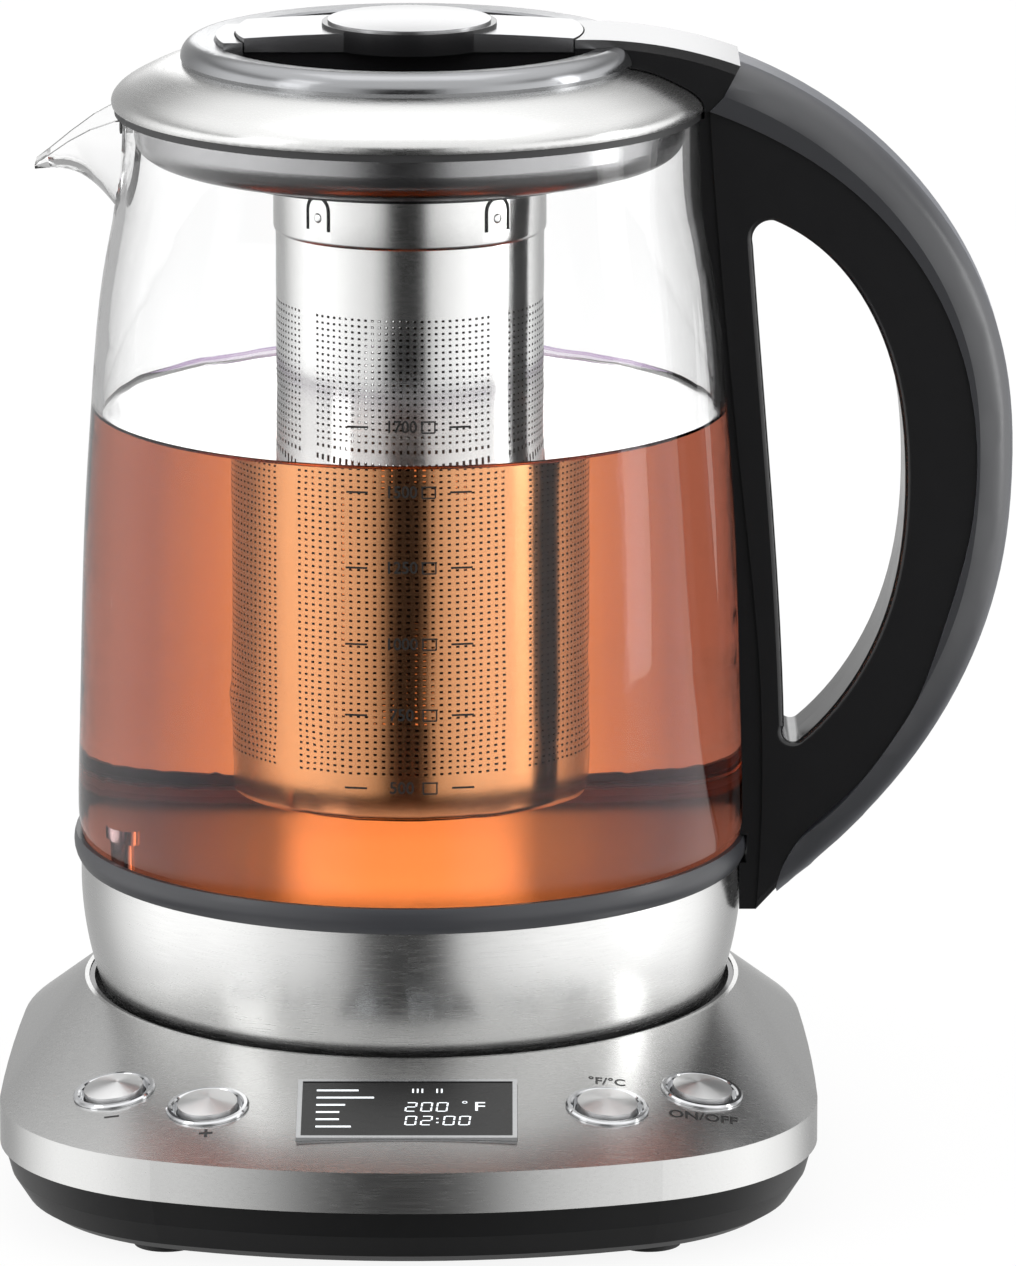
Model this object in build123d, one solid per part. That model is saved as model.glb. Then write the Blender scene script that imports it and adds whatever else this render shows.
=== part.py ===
from build123d import *
import os
from math import atan2, cos, degrees, radians, sin

# An electric glass kettle with a tea infuser, on its power base. Millimetres, +Z up.
# Everything is drawn round the kettle's upright axis, with the handle along +X, the spout along -X and the keys
# and display along -Y. At the end the whole is moved so that the origin is the middle of its footprint, on the
# surface that it stands on.

# ---- driving dimensions: power base ----
foot_height = 1.8
foot_radius = 7.0
foot_inset_depth = 0.8
front_foot_at = (52.0, -97.0)
rear_foot_at = (54.0, 50.0)
base_half_width = 89.4
base_front = 125.5
base_back_radius = 87.5
base_widest_y = -66.0
base_side_radius = 1235.0
base_corner_radius = 53.0
tub_height = 13.2
band_height = 9.0
deck_rise = 10.5
cup_to_lip = 4.5
lip_flange_depth = 4.0
cover_sheet = 1.0
tub_wall = 2.2
tub_step = 0.8
tub_shoulder_height, tub_shoulder_inset = 7.2, 2.5
tub_heel_height, tub_heel_inset = 2.0, 5.8
tub_bottom_inset = 9.0
spigot_height = 4.0
spigot_gap = 0.3
well_depth = 7.5
well_floor_thickness = 2.0
liner_wall = 1.1
liner_gap = 0.1
turret_fit = 0.1

# ---- driving dimensions: keys and display ----
lip_to_keys = 28.4
key_angles = (25.0, 38.7)
key_radius = 6.5
key_travel = 1.2
key_height = 1.3
key_dome = 0.6
key_flange_overlap = 0.7
key_flange_thickness = 1.0
key_flange_gap = 0.1
stem_gap = 0.1
key_stem_radius = 1.8
bezel_radius = 9.0
bezel_height = 0.75
bezel_rim = 1.4
bezel_sleeve_wall = 1.3
bezel_depth = 4.5
bezel_seat = 0.35
bezel_fit = 0.1
key_gap = 0.4
lip_to_display = 23.5
display_width, display_depth = 47.4, 27.1
display_frame_wall = 1.0
display_frame_height = 0.5
display_frame_depth = 2.6
display_fit = 0.15
window_sink = 0.2
display_glass = 1.6
module_thickness = 5.0
module_leg = 2.0
module_gap = 1.0
board_thickness = 1.6
board_depth = 18.0
board_side_margin = 6.0
board_front_margin = 17.0
board_back_margin = 8.0
board_wall_gap = 3.0
board_well_gap = 1.5
switch_size, switch_height = 6.0, 3.5
plunger_radius, plunger_height = 1.7, 1.5
buzzer_radius, buzzer_height = 5.0, 6.0
display_to_buzzer = 7.3
post_radius = 3.0
post_sink = 0.5

# ---- driving dimensions: base electrics ----
power_board_size = (64.0, 36.0)
power_board_y = 48.0
power_board_lift = 4.3
relay_size = (19.0, 15.0, 12.0)
transformer_size = (22.0, 18.0, 12.5)
relay_x, transformer_x = -16.0, 14.0
turret_radius = 15.5
turret_height = 14.0
turret_flange_radius = 22.0
turret_flange_thickness = 3.0
contact_ring_radius, contact_ring_width = 9.0, 1.6
contact_height = 0.6
contact_pin_radius = 2.0
gland_radius, gland_bore = 4.2, 3.0
gland_lift = 8.8
gland_length = 11.0
gland_flange = 1.0
screw_shank_radius, screw_head_radius = 1.5, 3.0
screw_head_height = 1.8
screw_seat_wall = 1.2
screw_tip_gap = 1.0
screw_length = 14.0
screw_clearance = 0.2
boss_radius = 4.2
boss_wall = 1.0
lip_to_screws = 8.3
base_screw_angles = (40.0, 140.0, 220.0, 320.0)

# ---- driving dimensions: jug ----
glass_foot_radius = 73.1
glass_wall = 2.6
# the glass's outer line: (wider than its foot, above the cup's rim)
glass_line = ((0.0, 3.4), (1.3, 8.2), (1.5, 14.2), (1.0, 32.2), (-0.7, 80.2),
              (-2.4, 105.2), (-5.7, 135.2), (-7.8, 146.7), (-8.4, 157.2), (-8.5, 168.2))
cup_height = 35.8
cup_rim_step = 0.9
cup_sheet = 0.8
# the cup's wall: (wider than its rim, above its rim)
cup_belly = (-0.5, -13.5)
cup_waist = (-4.9, -31.0)
cup_foot_step = 8.0
cup_flange_width = 4.0
jug_cover_thickness = 1.4
plate_thickness = 2.0
plate_gap = 0.7
gasket_width = 3.4
ring_height = 5.8
ring_bulge = 1.6
ring_wall = 1.2
ring_foot_step, ring_seat_step, ring_top_step = 0.5, 0.4, 0.9
element_radius, element_width, element_height = 45.0, 8.0, 6.0
element_arc = 300.0
probe_inset, probe_angle = 14.8, 196.9
probe_radius, probe_height = 3.2, 6.0
probe_cap_radius, probe_cap_height = 4.6, 2.6
connector_wall = 4.2
connector_gap = 0.4
connector_roof = 2.0
connector_flange_width, connector_flange_thickness = 3.5, 2.0

# ---- driving dimensions: spout, sections from the wall to the lip ----
# each is (out from the glass's top edge, rim above that edge, half width, depth below the rim)
spout_line = ((-7.6, 4.4, 17.5, 30.0), (0.0, -0.2, 14.6, 21.5), (5.4, -2.6, 11.3, 13.2),
              (10.4, -5.8, 8.0, 7.4), (14.9, -9.2, 6.2, 3.6), (18.0, -11.4, 4.6, 1.6))
spout_wall = 2.0
spout_channel_reach = 15.4
spout_channel_start, spout_channel_rise = 8.0, 4.0
spout_rim_drop = 3.0

# ---- driving dimensions: collar ----
dome_sheet = 0.8
# the dome's line: (wider than the glass's top edge, above it)
dome_line = ((1.0, 1.7), (1.1, 3.2), (0.1, 4.8), (-4.2, 7.7), (-9.2, 10.0), (-14.4, 11.3))
rim_width, rim_height = 7.6, 4.9
rim_inner_rise, rim_inner_round, rim_inner_drop = 2.6, 0.5, 0.3
rim_crest_width = 4.3
rim_shoulder_inset, rim_shoulder_drop = 0.8, 1.5
rim_edge_rise, rim_edge_chamfer = 0.9, 0.3
insert_wall = 1.6
insert_fit = 0.1
insert_depth = 5.5
insert_floor_thickness = 2.4
insert_flange_width, insert_flange_thickness = 2.4, 1.2
insert_lip_width, insert_lip_thickness, insert_lip_gap = 4.4, 0.8, 0.6
collar_seal_overhang = 0.5
skirt_gap = 1.2
skirt_sheet = 0.6
skirt_depth = 7.7
skirt_flange_gap = 0.3
skirt_lip_gap, skirt_lip_drop = 2.4, 13.3
skirt_bend, skirt_bend_rise, skirt_corner, skirt_heel = 3.0, 1.3, 1.6, 2.0
seal_gap = 0.2
bridge_height = 3.0
bridge_angle = 11.0

# ---- driving dimensions: lid and infuser ----
lid_to_opening = 4.3
lid_gap = 0.3
lid_wall = 1.9
lid_floor_thickness = 2.4
lid_plug_depth = 14.3
lid_seal_lift, lid_seal_height = 4.0, 3.0
lid_groove = 0.8
lid_seal_bite = 0.15
skirt_fit = 0.15
lid_skirt_wall = 1.8
lid_skirt_lift = 3.0
strap_width = 26.0
strap_thickness = 2.6
strap_lift, strap_crown = 1.5, 1.7
strap_overrun = 4.0
stub_drop = 0.6
bar_margin = 1.2
boss_height = 0.5
boss_disc_radius = 19.3
disc_margin = 1.3
disc_thickness = 1.3
disc_edge = 0.45
infuser_radius = 29.7
infuser_sheet = 0.5
infuser_to_plate = 14.2
infuser_lap = 2.5
infuser_corner = 1.5
infuser_collar_height = 17.0
infuser_collar_gap = 0.5

# ---- driving dimensions: handle ----
# its lines in the XZ plane are (out from the glass's foot, above the cup's rim)
handle_half_width = 12.6
cover_half_width = 13.4
spine_half_width = 11.6
cover_round = 7.5
body_round = 1.2
cover_line = ((-0.5, 180.2), (19.6, 169.8), (37.4, 154.4), (53.4, 130.0), (58.9, 112.2), (60.5, 88.2),
              (58.3, 66.2), (52.0, 45.5), (40.1, 24.0), (24.4, 5.5), (8.9, -8.2))
seam_line = ((-7.1, 170.1), (4.1, 165.4), (21.7, 154.6), (35.1, 141.4), (46.3, 122.6), (51.8, 101.2),
             (51.2, 75.6), (45.3, 53.2), (37.5, 32.6), (25.1, 16.4), (13.9, 5.6), (8.5, -6.2))
hole_outer_line = ((7.1, 145.6), (22.3, 134.4), (32.7, 115.2), (36.5, 89.2), (32.9, 58.6), (24.1, 40.0), (13.5, 28.0))
hole_inner_line = ((10.1, 31.2), (8.1, 70.2), (5.5, 103.2), (2.5, 140.2))
hole_bottom_bulge, hole_top_bulge = (-0.7, -0.2), (-1.0, -1.0)
spine_line = ((-7.1, 170.1), (-4.3, 133.2), (0.5, 85.2), (4.5, 45.2), (5.0, 4.2), (4.1, -11.0))
spine_depth = 18.1
spine_gap = 0.3
arm_middle_at = (-16.6, 184.5)
arm_nose_at = (-4.1, 173.2)
arm_plate_thickness = 2.0
arm_overrun = 5.0
arm_gap = 0.15
arm_notch_margin = 2.0
handle_screw_heights = (-6.8, 15.2)
handle_screw_length = 4.2
handle_screw_head_depth = 1.2

# ---- worked out from the driving dimensions: levels and radii ----
def placed(line, out, up):
    return [(out + dx, up + dz, *rest) for dx, dz, *rest in line]


tub_floor_top = foot_height + tub_wall
tub_heel_z = foot_height + tub_heel_height
tub_shoulder_z = foot_height + tub_shoulder_height
band_bottom_z = foot_height + tub_height
ridge_z = band_bottom_z + band_height
lip_z = ridge_z + deck_rise
well_floor_z = lip_z - well_depth
well_floor_bottom = well_floor_z - well_floor_thickness
cup_rim_z = well_floor_z + cup_height
cup_rim_radius = glass_foot_radius + cup_rim_step
cup_middle, cup_shoulder = placed([cup_belly, cup_waist], cup_rim_radius, cup_rim_z)
cup_foot_radius = cup_rim_radius - cup_foot_step
plate_z = cup_rim_z + plate_thickness
plate_radius = cup_rim_radius - plate_gap
lip_radius = cup_shoulder[0] + cup_to_lip
well_radius = lip_radius - cover_sheet
liner_radius = well_radius - liner_gap

glass_outline = placed(glass_line, glass_foot_radius, cup_rim_z)
glass_foot_z = glass_outline[0][1]
glass_top_radius, glass_top_z = glass_outline[-1]
dome_outline = placed(dome_line, glass_top_radius, glass_top_z)
dome_edge_radius, dome_edge_z = dome_outline[0]
dome_top_radius, dome_top_z = dome_outline[-1]
opening_radius = dome_top_radius - rim_width
rim_top_z = dome_top_z + rim_height
rim_step_z = dome_top_z + rim_inner_rise
rim_outer_radius = dome_top_radius + rim_edge_chamfer
insert_outer_radius = opening_radius + insert_wall
insert_floor_z = dome_top_z - insert_depth
lid_radius = opening_radius - lid_to_opening
socket_radius = lid_radius + lid_gap
skirt_radius = glass_top_radius - glass_wall - skirt_gap
skirt_bottom_z = dome_edge_z - skirt_depth
skirt_lip = (socket_radius + skirt_lip_gap, dome_edge_z - skirt_lip_drop)
above_all = 2 * rim_top_z

lid_plug_z = insert_floor_z - lid_plug_depth
lid_seal_z = lid_plug_z + lid_seal_lift
collar_top_z = lid_plug_z - infuser_collar_gap
infuser_seam_z = collar_top_z - infuser_collar_height
infuser_bottom_z = plate_z + infuser_to_plate
lid_skirt_z = infuser_seam_z + lid_skirt_lift
lid_skirt_radius = infuser_radius - skirt_fit
strap_end_z = rim_top_z + strap_lift
strap_crown_z = strap_end_z + strap_crown
half_strap = strap_width / 2
disc_radius = boss_disc_radius - disc_margin

cover_outline = placed(cover_line, glass_foot_radius, cup_rim_z)
seam_outline = placed(seam_line, glass_foot_radius, cup_rim_z)
hole_outer = placed(hole_outer_line, glass_foot_radius, cup_rim_z)
hole_inner = placed(hole_inner_line, glass_foot_radius, cup_rim_z)
spine_seam = placed(spine_line, glass_foot_radius, cup_rim_z)
arm_middle, arm_nose = placed([arm_middle_at, arm_nose_at], glass_foot_radius, cup_rim_z)
arm_end = cover_outline[0]
arm_drop = arm_plate_thickness / (arm_end[1] - arm_nose[1])
arm_under_end = (arm_end[0] + (arm_nose[0] - arm_end[0]) * arm_drop, arm_end[1] - arm_plate_thickness)
arm_start = (socket_radius - arm_overrun, strap_end_z)
arm_under_start = (arm_start[0], arm_start[1] - arm_plate_thickness)
arm_under_middle = (arm_middle[0], arm_middle[1] - arm_plate_thickness)
seam_limit = (max(x for x, _ in seam_outline) + max(x for x, _ in cover_outline)) / 2
hole_limit = max(x for x, _ in hole_outer) + body_round
hole_bottom = ((hole_outer[-1][0] + hole_inner[0][0]) / 2 + hole_bottom_bulge[0],
               hole_outer[-1][1] + hole_bottom_bulge[1])
hole_top = ((hole_outer[0][0] + hole_inner[-1][0]) / 2 + hole_top_bulge[0],
            hole_outer[0][1] + hole_top_bulge[1])
handle_screw_z = [cup_rim_z + height for height in handle_screw_heights]

turret_top_z = well_floor_z + turret_height
key_circle_radius = lip_radius + lip_to_keys
display_y = -lip_radius - lip_to_display
board_back_y = base_widest_y + board_back_margin
board_half_width = key_circle_radius * sin(radians(key_angles[-1])) + switch_size / 2 + board_side_margin
power_board_z = tub_floor_top + power_board_lift
gland_z = foot_height + gland_lift
gland_y = base_back_radius - tub_shoulder_inset - tub_wall
screw_seat_z = foot_height + screw_head_height + screw_seat_wall
screw_circle_radius = lip_radius - lip_to_screws
foot_places = [(side * x, y) for x, y in (front_foot_at, rear_foot_at) for side in (-1, 1)]


def solid_of(shape):
    return shape.solids().sort_by(SortBy.VOLUME)[-1]


def polar(centre, radius, angle):
    return Vector(centre.X + radius * cos(radians(angle)), centre.Y + radius * sin(radians(angle)))


def turned(points, arc=360.0):
    outline = Polyline(*[(r, z) for r, z in points], close=True)
    return revolve(Plane.XZ * make_face(outline), Axis.Z, revolution_arc=arc)


def turned_edges(edges):
    return revolve(Plane.XZ * make_face(edges), Axis.Z)


def tube(outer, inner, low, high):
    return turned([(inner, low), (outer, low), (outer, high), (inner, high)])


def disc(radius, low, high, at=(0.0, 0.0)):
    return Pos(at[0], at[1], low) * extrude(Circle(radius), high - low)


def inward(points, thickness):
    line = [Vector(r, z) for r, z in points]
    moved = []
    for index, point in enumerate(line):
        along = line[min(index + 1, len(line) - 1)] - line[max(index - 1, 0)]
        along = along.normalized()
        moved.append(point + Vector(-along.Y, along.X) * thickness)
    return moved


def turned_sheet(points, thickness):
    outer = [Vector(r, z) for r, z in points]
    inner = inward(points, thickness)
    return turned_edges([Spline(*outer), Line(outer[-1], inner[-1]),
                         Spline(*reversed(inner)), Line(inner[0], outer[0])])


def turned_fill(points, axis_low, axis_high):
    # the whole inside of a curved wall, from the axis out to it
    line = [Vector(r, z) for r, z in points]
    return turned_edges([Spline(*line), Line(line[-1], (0, axis_high)),
                         Line((0, axis_high), (0, axis_low)), Line((0, axis_low), line[0])])


# ---- the base's outline: six tangent arcs, the same round the cover, the tub and the spigot ----
corner_centre = Vector(base_half_width - base_corner_radius, base_widest_y)
side_centre = Vector(base_half_width - base_side_radius, base_widest_y)
reach = base_front + base_widest_y
front_radius = ((corner_centre.X ** 2 + reach ** 2 - base_corner_radius ** 2)
                / (2 * (reach - base_corner_radius)))
front_centre = Vector(0, front_radius - base_front)
corner_turn = degrees(atan2(corner_centre.Y - front_centre.Y, corner_centre.X))
side_turn = degrees(atan2(-side_centre.Y, -side_centre.X))
base_screws_at = [tuple(polar(Vector(0, 0), screw_circle_radius, angle))[:2] for angle in base_screw_angles]
probe_at = tuple(polar(Vector(0, 0), plate_radius - probe_inset, probe_angle))[:2]


def base_ends(inset):
    front_end = polar(front_centre, front_radius - inset, corner_turn)
    side_start = polar(corner_centre, base_corner_radius - inset, 0)
    side_end = polar(side_centre, base_side_radius - inset, side_turn)
    return front_end, side_start, side_end


def mirrored(point):
    return Vector(-point.X, point.Y)


def base_face(inset, z):
    front_end, side_start, side_end = base_ends(inset)
    corner = polar(corner_centre, base_corner_radius - inset, corner_turn / 2)
    side = polar(side_centre, base_side_radius - inset, side_turn / 2)
    back = Vector(0, base_back_radius - inset)
    right = [ThreePointArc(front_end, corner, side_start), ThreePointArc(side_start, side, side_end)]
    left = [ThreePointArc(mirrored(side_end), mirrored(side), mirrored(side_start)),
            ThreePointArc(mirrored(side_start), mirrored(corner), mirrored(front_end))]
    front = ThreePointArc(mirrored(front_end), Vector(0, inset - base_front), front_end)
    return Pos(0, 0, z) * make_face([front] + right + [ThreePointArc(side_end, back, mirrored(side_end))] + left)


def ring_face(radius, z):
    # a circle split where it runs the same way as the base's outline at its joints, so that the straight
    # lines between the two make one smooth surface
    angles = [corner_turn, 0, side_turn]
    turns = [angles[0], angles[1], angles[2], 180 - angles[2], 180 - angles[1], 180 - angles[0]]
    arcs = [CenterArc((0, 0), radius, start, end - start) for start, end in zip(turns, turns[1:])]
    arcs.append(CenterArc((0, 0), radius, turns[-1], turns[0] + 360 - turns[-1]))
    return Pos(0, 0, z) * make_face(arcs)


def base_block(insets):
    # insets is a list of (z, inset) from the bottom up
    block = None
    for (low, low_inset), (high, high_inset) in zip(insets, insets[1:]):
        if low_inset == high_inset:
            piece = extrude(base_face(low_inset, low), high - low)
        else:
            piece = loft([base_face(low_inset, low), base_face(high_inset, high)], ruled=True)
        block = piece if block is None else block + piece
    return block


def cover_block(sheet):
    low = extrude(base_face(sheet, band_bottom_z), ridge_z - sheet - band_bottom_z)
    return low + loft([base_face(sheet, ridge_z - sheet), ring_face(lip_radius - sheet, lip_z - sheet)], ruled=True)


deck = solid_of(cover_block(0.0))


def deck_plane(x, y):
    # the plane that touches the deck at x, y, with its X axis level
    point, normal = max(deck.find_intersection_points(Axis((x, y, 0), (0, 0, 1))), key=lambda hit: hit[0].Z)
    return Plane(origin=point, x_dir=Vector(0, 1, 0).cross(normal), z_dir=normal)


def key_place(angle):
    return (key_circle_radius * sin(radians(angle)), -key_circle_radius * cos(radians(angle)))


key_planes = [deck_plane(*key_place(angle)) for angle in
              (-key_angles[1], -key_angles[0], key_angles[0], key_angles[1])]
display_plane = deck_plane(0.0, display_y)
board_plane = display_plane.offset(-board_depth)
plunger_plane = board_plane.offset(switch_height + plunger_height)

# ---- keys: bezel fixed in the deck, cap and stem that travel, switch on the board ----
bezel_inner = bezel_radius - bezel_rim
sleeve_radius = key_radius + key_gap + bezel_sleeve_wall


def key_bezel(plane):
    bevel = bezel_rim * 0.25
    return plane * turned([(bezel_radius, -bezel_seat), (bezel_radius, bezel_height - bevel),
                           (bezel_radius - bevel, bezel_height), (bezel_inner + bevel, bezel_height),
                           (bezel_inner, bezel_height - bevel), (bezel_inner, -bezel_height),
                           (key_radius + key_gap, -bezel_height), (key_radius + key_gap, -bezel_depth),
                           (sleeve_radius, -bezel_depth), (sleeve_radius, -bezel_seat)])


def stem_foot(plane):
    # where a key's own line meets the plane of the switch plungers
    line = Axis(plane.origin, -plane.z_dir)
    hit = plunger_plane.intersect(line)
    return hit if isinstance(hit, Vector) else Vector(hit.center())


def key_cap(plane):
    flange_top = -bezel_depth - key_flange_gap
    flange_radius = key_radius + key_flange_overlap
    # the stem is cut square to its own line, so its edge is nearer to the plunger than its middle is
    tilt = radians(plane.z_dir.get_angle(plunger_plane.z_dir))
    stem_end = -(stem_foot(plane) - plane.origin).length + key_travel + stem_gap + key_stem_radius * sin(tilt)
    dome = ThreePointArc((0, key_height + key_dome), (key_radius * 0.6, key_height + key_dome * 0.68),
                         (key_radius, key_height))
    edges = [dome] + Polyline((key_radius, key_height), (key_radius, flange_top), (flange_radius, flange_top),
                              (flange_radius, flange_top - key_flange_thickness),
                              (key_stem_radius, flange_top - key_flange_thickness), (key_stem_radius, stem_end),
                              (0, stem_end), (0, key_height + key_dome)).edges()
    return plane * turned_edges(edges)


def tact_switch(plane):
    foot = board_plane.to_local_coords(stem_foot(plane))
    body = Pos(foot.X, foot.Y, switch_height / 2) * Box(switch_size, switch_size, switch_height)
    plunger = Pos(foot.X, foot.Y, switch_height + plunger_height / 2) * Cylinder(plunger_radius, plunger_height)
    return board_plane * (body + plunger)


# ---- base cover: one steel pressing ----
def base_cover():
    cover = cover_block(0.0) - cover_block(cover_sheet) - disc(well_radius, 0, lip_z + cover_sheet)
    cover -= base_block([(0, cover_sheet), (band_bottom_z + cover_sheet, cover_sheet)])
    cover += tube(lip_radius, well_radius, lip_z - lip_flange_depth, lip_z)
    for plane in key_planes:
        cover -= plane * Pos(0, 0, -bezel_depth) * extrude(Circle(sleeve_radius + bezel_fit), bezel_depth * 2)
        cover -= plane * Pos(0, 0, -bezel_seat) * extrude(Circle(bezel_radius + bezel_fit), bezel_depth)
    slot = display_plane * Pos(0, 0, -bezel_depth) * extrude(
        Rectangle(display_width + display_fit, display_depth + display_fit), bezel_depth * 2)
    return cover - slot


# ---- base tub: bowl-shaped, open at the top, with posts for the boards and the screws ----
def base_tub():
    outside = [(foot_height, tub_bottom_inset), (tub_heel_z, tub_heel_inset),
               (tub_shoulder_z, tub_shoulder_inset), (band_bottom_z, tub_step)]
    inside = [(tub_floor_top, tub_heel_inset + tub_wall), (tub_shoulder_z, tub_shoulder_inset + tub_wall),
              (band_bottom_z + spigot_height + tub_wall, tub_step + cover_sheet + spigot_gap + tub_wall)]
    spigot = extrude(base_face(cover_sheet + spigot_gap, band_bottom_z), spigot_height)
    tub = base_block(outside) + spigot - base_block(inside)
    for x, y in base_screws_at:
        tub += disc(boss_radius + boss_wall, tub_floor_top - post_sink, screw_seat_z + tub_wall, (x, y))
        tub -= disc(screw_head_radius + screw_clearance, 0, screw_seat_z, (x, y))
        tub -= disc(screw_shank_radius + screw_clearance, 0, band_bottom_z + spigot_height, (x, y))
    for x, y in foot_places:
        tub -= disc(foot_radius, 0, foot_height + foot_inset_depth, (x, y))
    for x in (-power_board_size[0] / 2 + post_radius, power_board_size[0] / 2 - post_radius):
        for y in (-power_board_size[1] / 2 + post_radius, power_board_size[1] / 2 - post_radius):
            tub += disc(post_radius, tub_floor_top - post_sink, power_board_z, (x, power_board_y + y))
    for x in (-display_width / 2 - post_radius, display_width / 2 + post_radius):
        post = disc(post_radius, tub_floor_top - post_sink, lip_z, (x, display_y))
        tub += split(post, bisect_by=board_plane.offset(-board_thickness), keep=Keep.BOTTOM)
    return tub - Pos(0, gland_y, gland_z) * Rot(-90, 0, 0) * extrude(Circle(gland_radius), gland_length, both=True)


def well_liner():
    liner = disc(liner_radius, well_floor_bottom, well_floor_z)
    liner += tube(liner_radius, liner_radius - liner_wall, well_floor_bottom, lip_z - spigot_gap)
    liner -= disc(turret_radius + turret_fit, 0, lip_z)
    for x, y in base_screws_at:
        liner += disc(boss_radius, screw_seat_z + tub_wall, well_floor_bottom, (x, y))
        liner -= disc(screw_shank_radius, 0, screw_seat_z + screw_length + screw_tip_gap, (x, y))
    return liner


def base_screw(x, y):
    head = disc(screw_head_radius, screw_seat_z - screw_head_height, screw_seat_z, (x, y))
    return head + disc(screw_shank_radius, screw_seat_z, screw_seat_z + screw_length, (x, y))


def control_board():
    low_edge = -base_front + board_front_margin
    outline = Pos(0, (low_edge + board_back_y) / 2) * Rectangle(2 * board_half_width, board_back_y - low_edge)
    column = Pos(0, 0, tub_floor_top) * extrude(outline, lip_z)
    inset = tub_shoulder_inset + tub_wall + board_wall_gap
    column = (column & base_block([(0, inset), (lip_z, inset)])) - disc(lip_radius + board_well_gap, 0, 2 * lip_z)
    column = split(column, bisect_by=board_plane, keep=Keep.BOTTOM)
    return split(column, bisect_by=board_plane.offset(-board_thickness), keep=Keep.TOP)


def display_frame():
    outer = Rectangle(display_width, display_depth)
    inner = Rectangle(display_width - 2 * display_frame_wall, display_depth - 2 * display_frame_wall)
    height = display_frame_depth + display_frame_height
    return display_plane * Pos(0, 0, -display_frame_depth) * (extrude(outer, height) - extrude(inner, height))


def display_window():
    glass = Rectangle(display_width - 2 * display_frame_wall, display_depth - 2 * display_frame_wall)
    top = display_frame_height - window_sink
    return display_plane * Pos(0, 0, top - display_glass) * extrude(glass, display_glass)


def display_module():
    top = display_frame_height - window_sink - display_glass
    width = display_width - 2 * display_frame_wall - module_gap
    depth = display_depth - 2 * display_frame_wall - module_gap
    panel = Pos(0, 0, top - module_thickness / 2) * Box(width, depth, module_thickness)
    leg_height = board_depth + top - module_thickness
    for side in (-1, 1):
        x = side * (width - module_leg) / 2
        leg = Box(module_leg, depth - 2 * module_leg, leg_height)
        panel += Pos(x, 0, top - module_thickness - leg_height / 2) * leg
    return display_plane * panel


def buzzer():
    beside = Vector(display_width / 2 + display_to_buzzer, display_y, board_plane.origin.Z)
    local = board_plane.to_local_coords(beside)
    return board_plane * Pos(local.X, local.Y, 0) * extrude(Circle(buzzer_radius), buzzer_height)


def power_board():
    return Pos(0, power_board_y, power_board_z + board_thickness / 2) * Box(*power_board_size, board_thickness)


def on_power_board(size, x):
    top = power_board_z + board_thickness
    return Pos(x, power_board_y, top + size[2] / 2) * Box(*size)


def base_connector():
    turret = disc(turret_radius, well_floor_bottom - turret_flange_thickness, turret_top_z)
    turret += disc(turret_flange_radius, well_floor_bottom - turret_flange_thickness, well_floor_bottom)
    turret -= tube(contact_ring_radius + contact_ring_width / 2, contact_ring_radius - contact_ring_width / 2,
                   turret_top_z - contact_height, turret_top_z)
    return turret - disc(contact_pin_radius, turret_top_z - contact_height, turret_top_z)


def contact_ring(low, high):
    return tube(contact_ring_radius + contact_ring_width / 2, contact_ring_radius - contact_ring_width / 2, low, high)


def cord_gland():
    start = gland_y - gland_length / 2
    body = Circle(gland_radius) - Circle(gland_bore)
    flange = Circle(gland_radius + gland_flange) - Circle(gland_bore)
    return Pos(0, start, gland_z) * Rot(-90, 0, 0) * (
        extrude(body, gland_length) + extrude(flange, gland_flange))


# ---- round connector of the jug, which drops over the turret at any angle ----
connector_inner = turret_radius + connector_gap
connector_outer = connector_inner + connector_wall
connector_roof_z = turret_top_z + contact_height + connector_gap


def jug_connector():
    jug_floor = well_floor_z + jug_cover_thickness + connector_gap
    top = connector_roof_z + connector_roof
    flange_radius = connector_outer + connector_flange_width
    body = turned([(connector_inner, well_floor_z), (connector_outer, well_floor_z), (connector_outer, jug_floor),
                   (flange_radius, jug_floor), (flange_radius, jug_floor + connector_flange_thickness),
                   (connector_outer, jug_floor + connector_flange_thickness), (connector_outer, top), (0, top),
                   (0, connector_roof_z), (connector_inner, connector_roof_z)])
    return body - contact_ring(connector_roof_z, connector_roof_z + contact_height)


# ---- lower jug: steel cup, plate, gasket and ring ----
def steel_cup():
    flange_radius = cup_rim_radius - cup_flange_width
    foot_z = well_floor_z + jug_cover_thickness

    def wall(inset):
        rim = (cup_rim_radius - inset, cup_rim_z)
        foot = (cup_foot_radius - inset, foot_z + inset)
        return rim, (cup_middle[0] - inset, cup_middle[1]), (cup_shoulder[0] - inset, cup_shoulder[1]), foot

    rim, middle, shoulder, foot = wall(0)
    rim_in, middle_in, shoulder_in, foot_in = wall(cup_sheet)
    bottom_radius = cup_foot_radius - 2 * cup_flange_width
    edges = [ThreePointArc(rim, middle, shoulder), Line(shoulder, foot), Line(foot, (bottom_radius, foot_z)),
             Line((bottom_radius, foot_z), (bottom_radius, foot_z + cup_sheet)),
             Line((bottom_radius, foot_z + cup_sheet), foot_in), Line(foot_in, shoulder_in)]
    under = (rim_in[0], cup_rim_z - cup_sheet)
    edges += [ThreePointArc(shoulder_in, middle_in, under), Line(under, (flange_radius, under[1])),
              Line((flange_radius, under[1]), (flange_radius, cup_rim_z)), Line((flange_radius, cup_rim_z), rim)]
    return turned_edges(edges)


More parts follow.
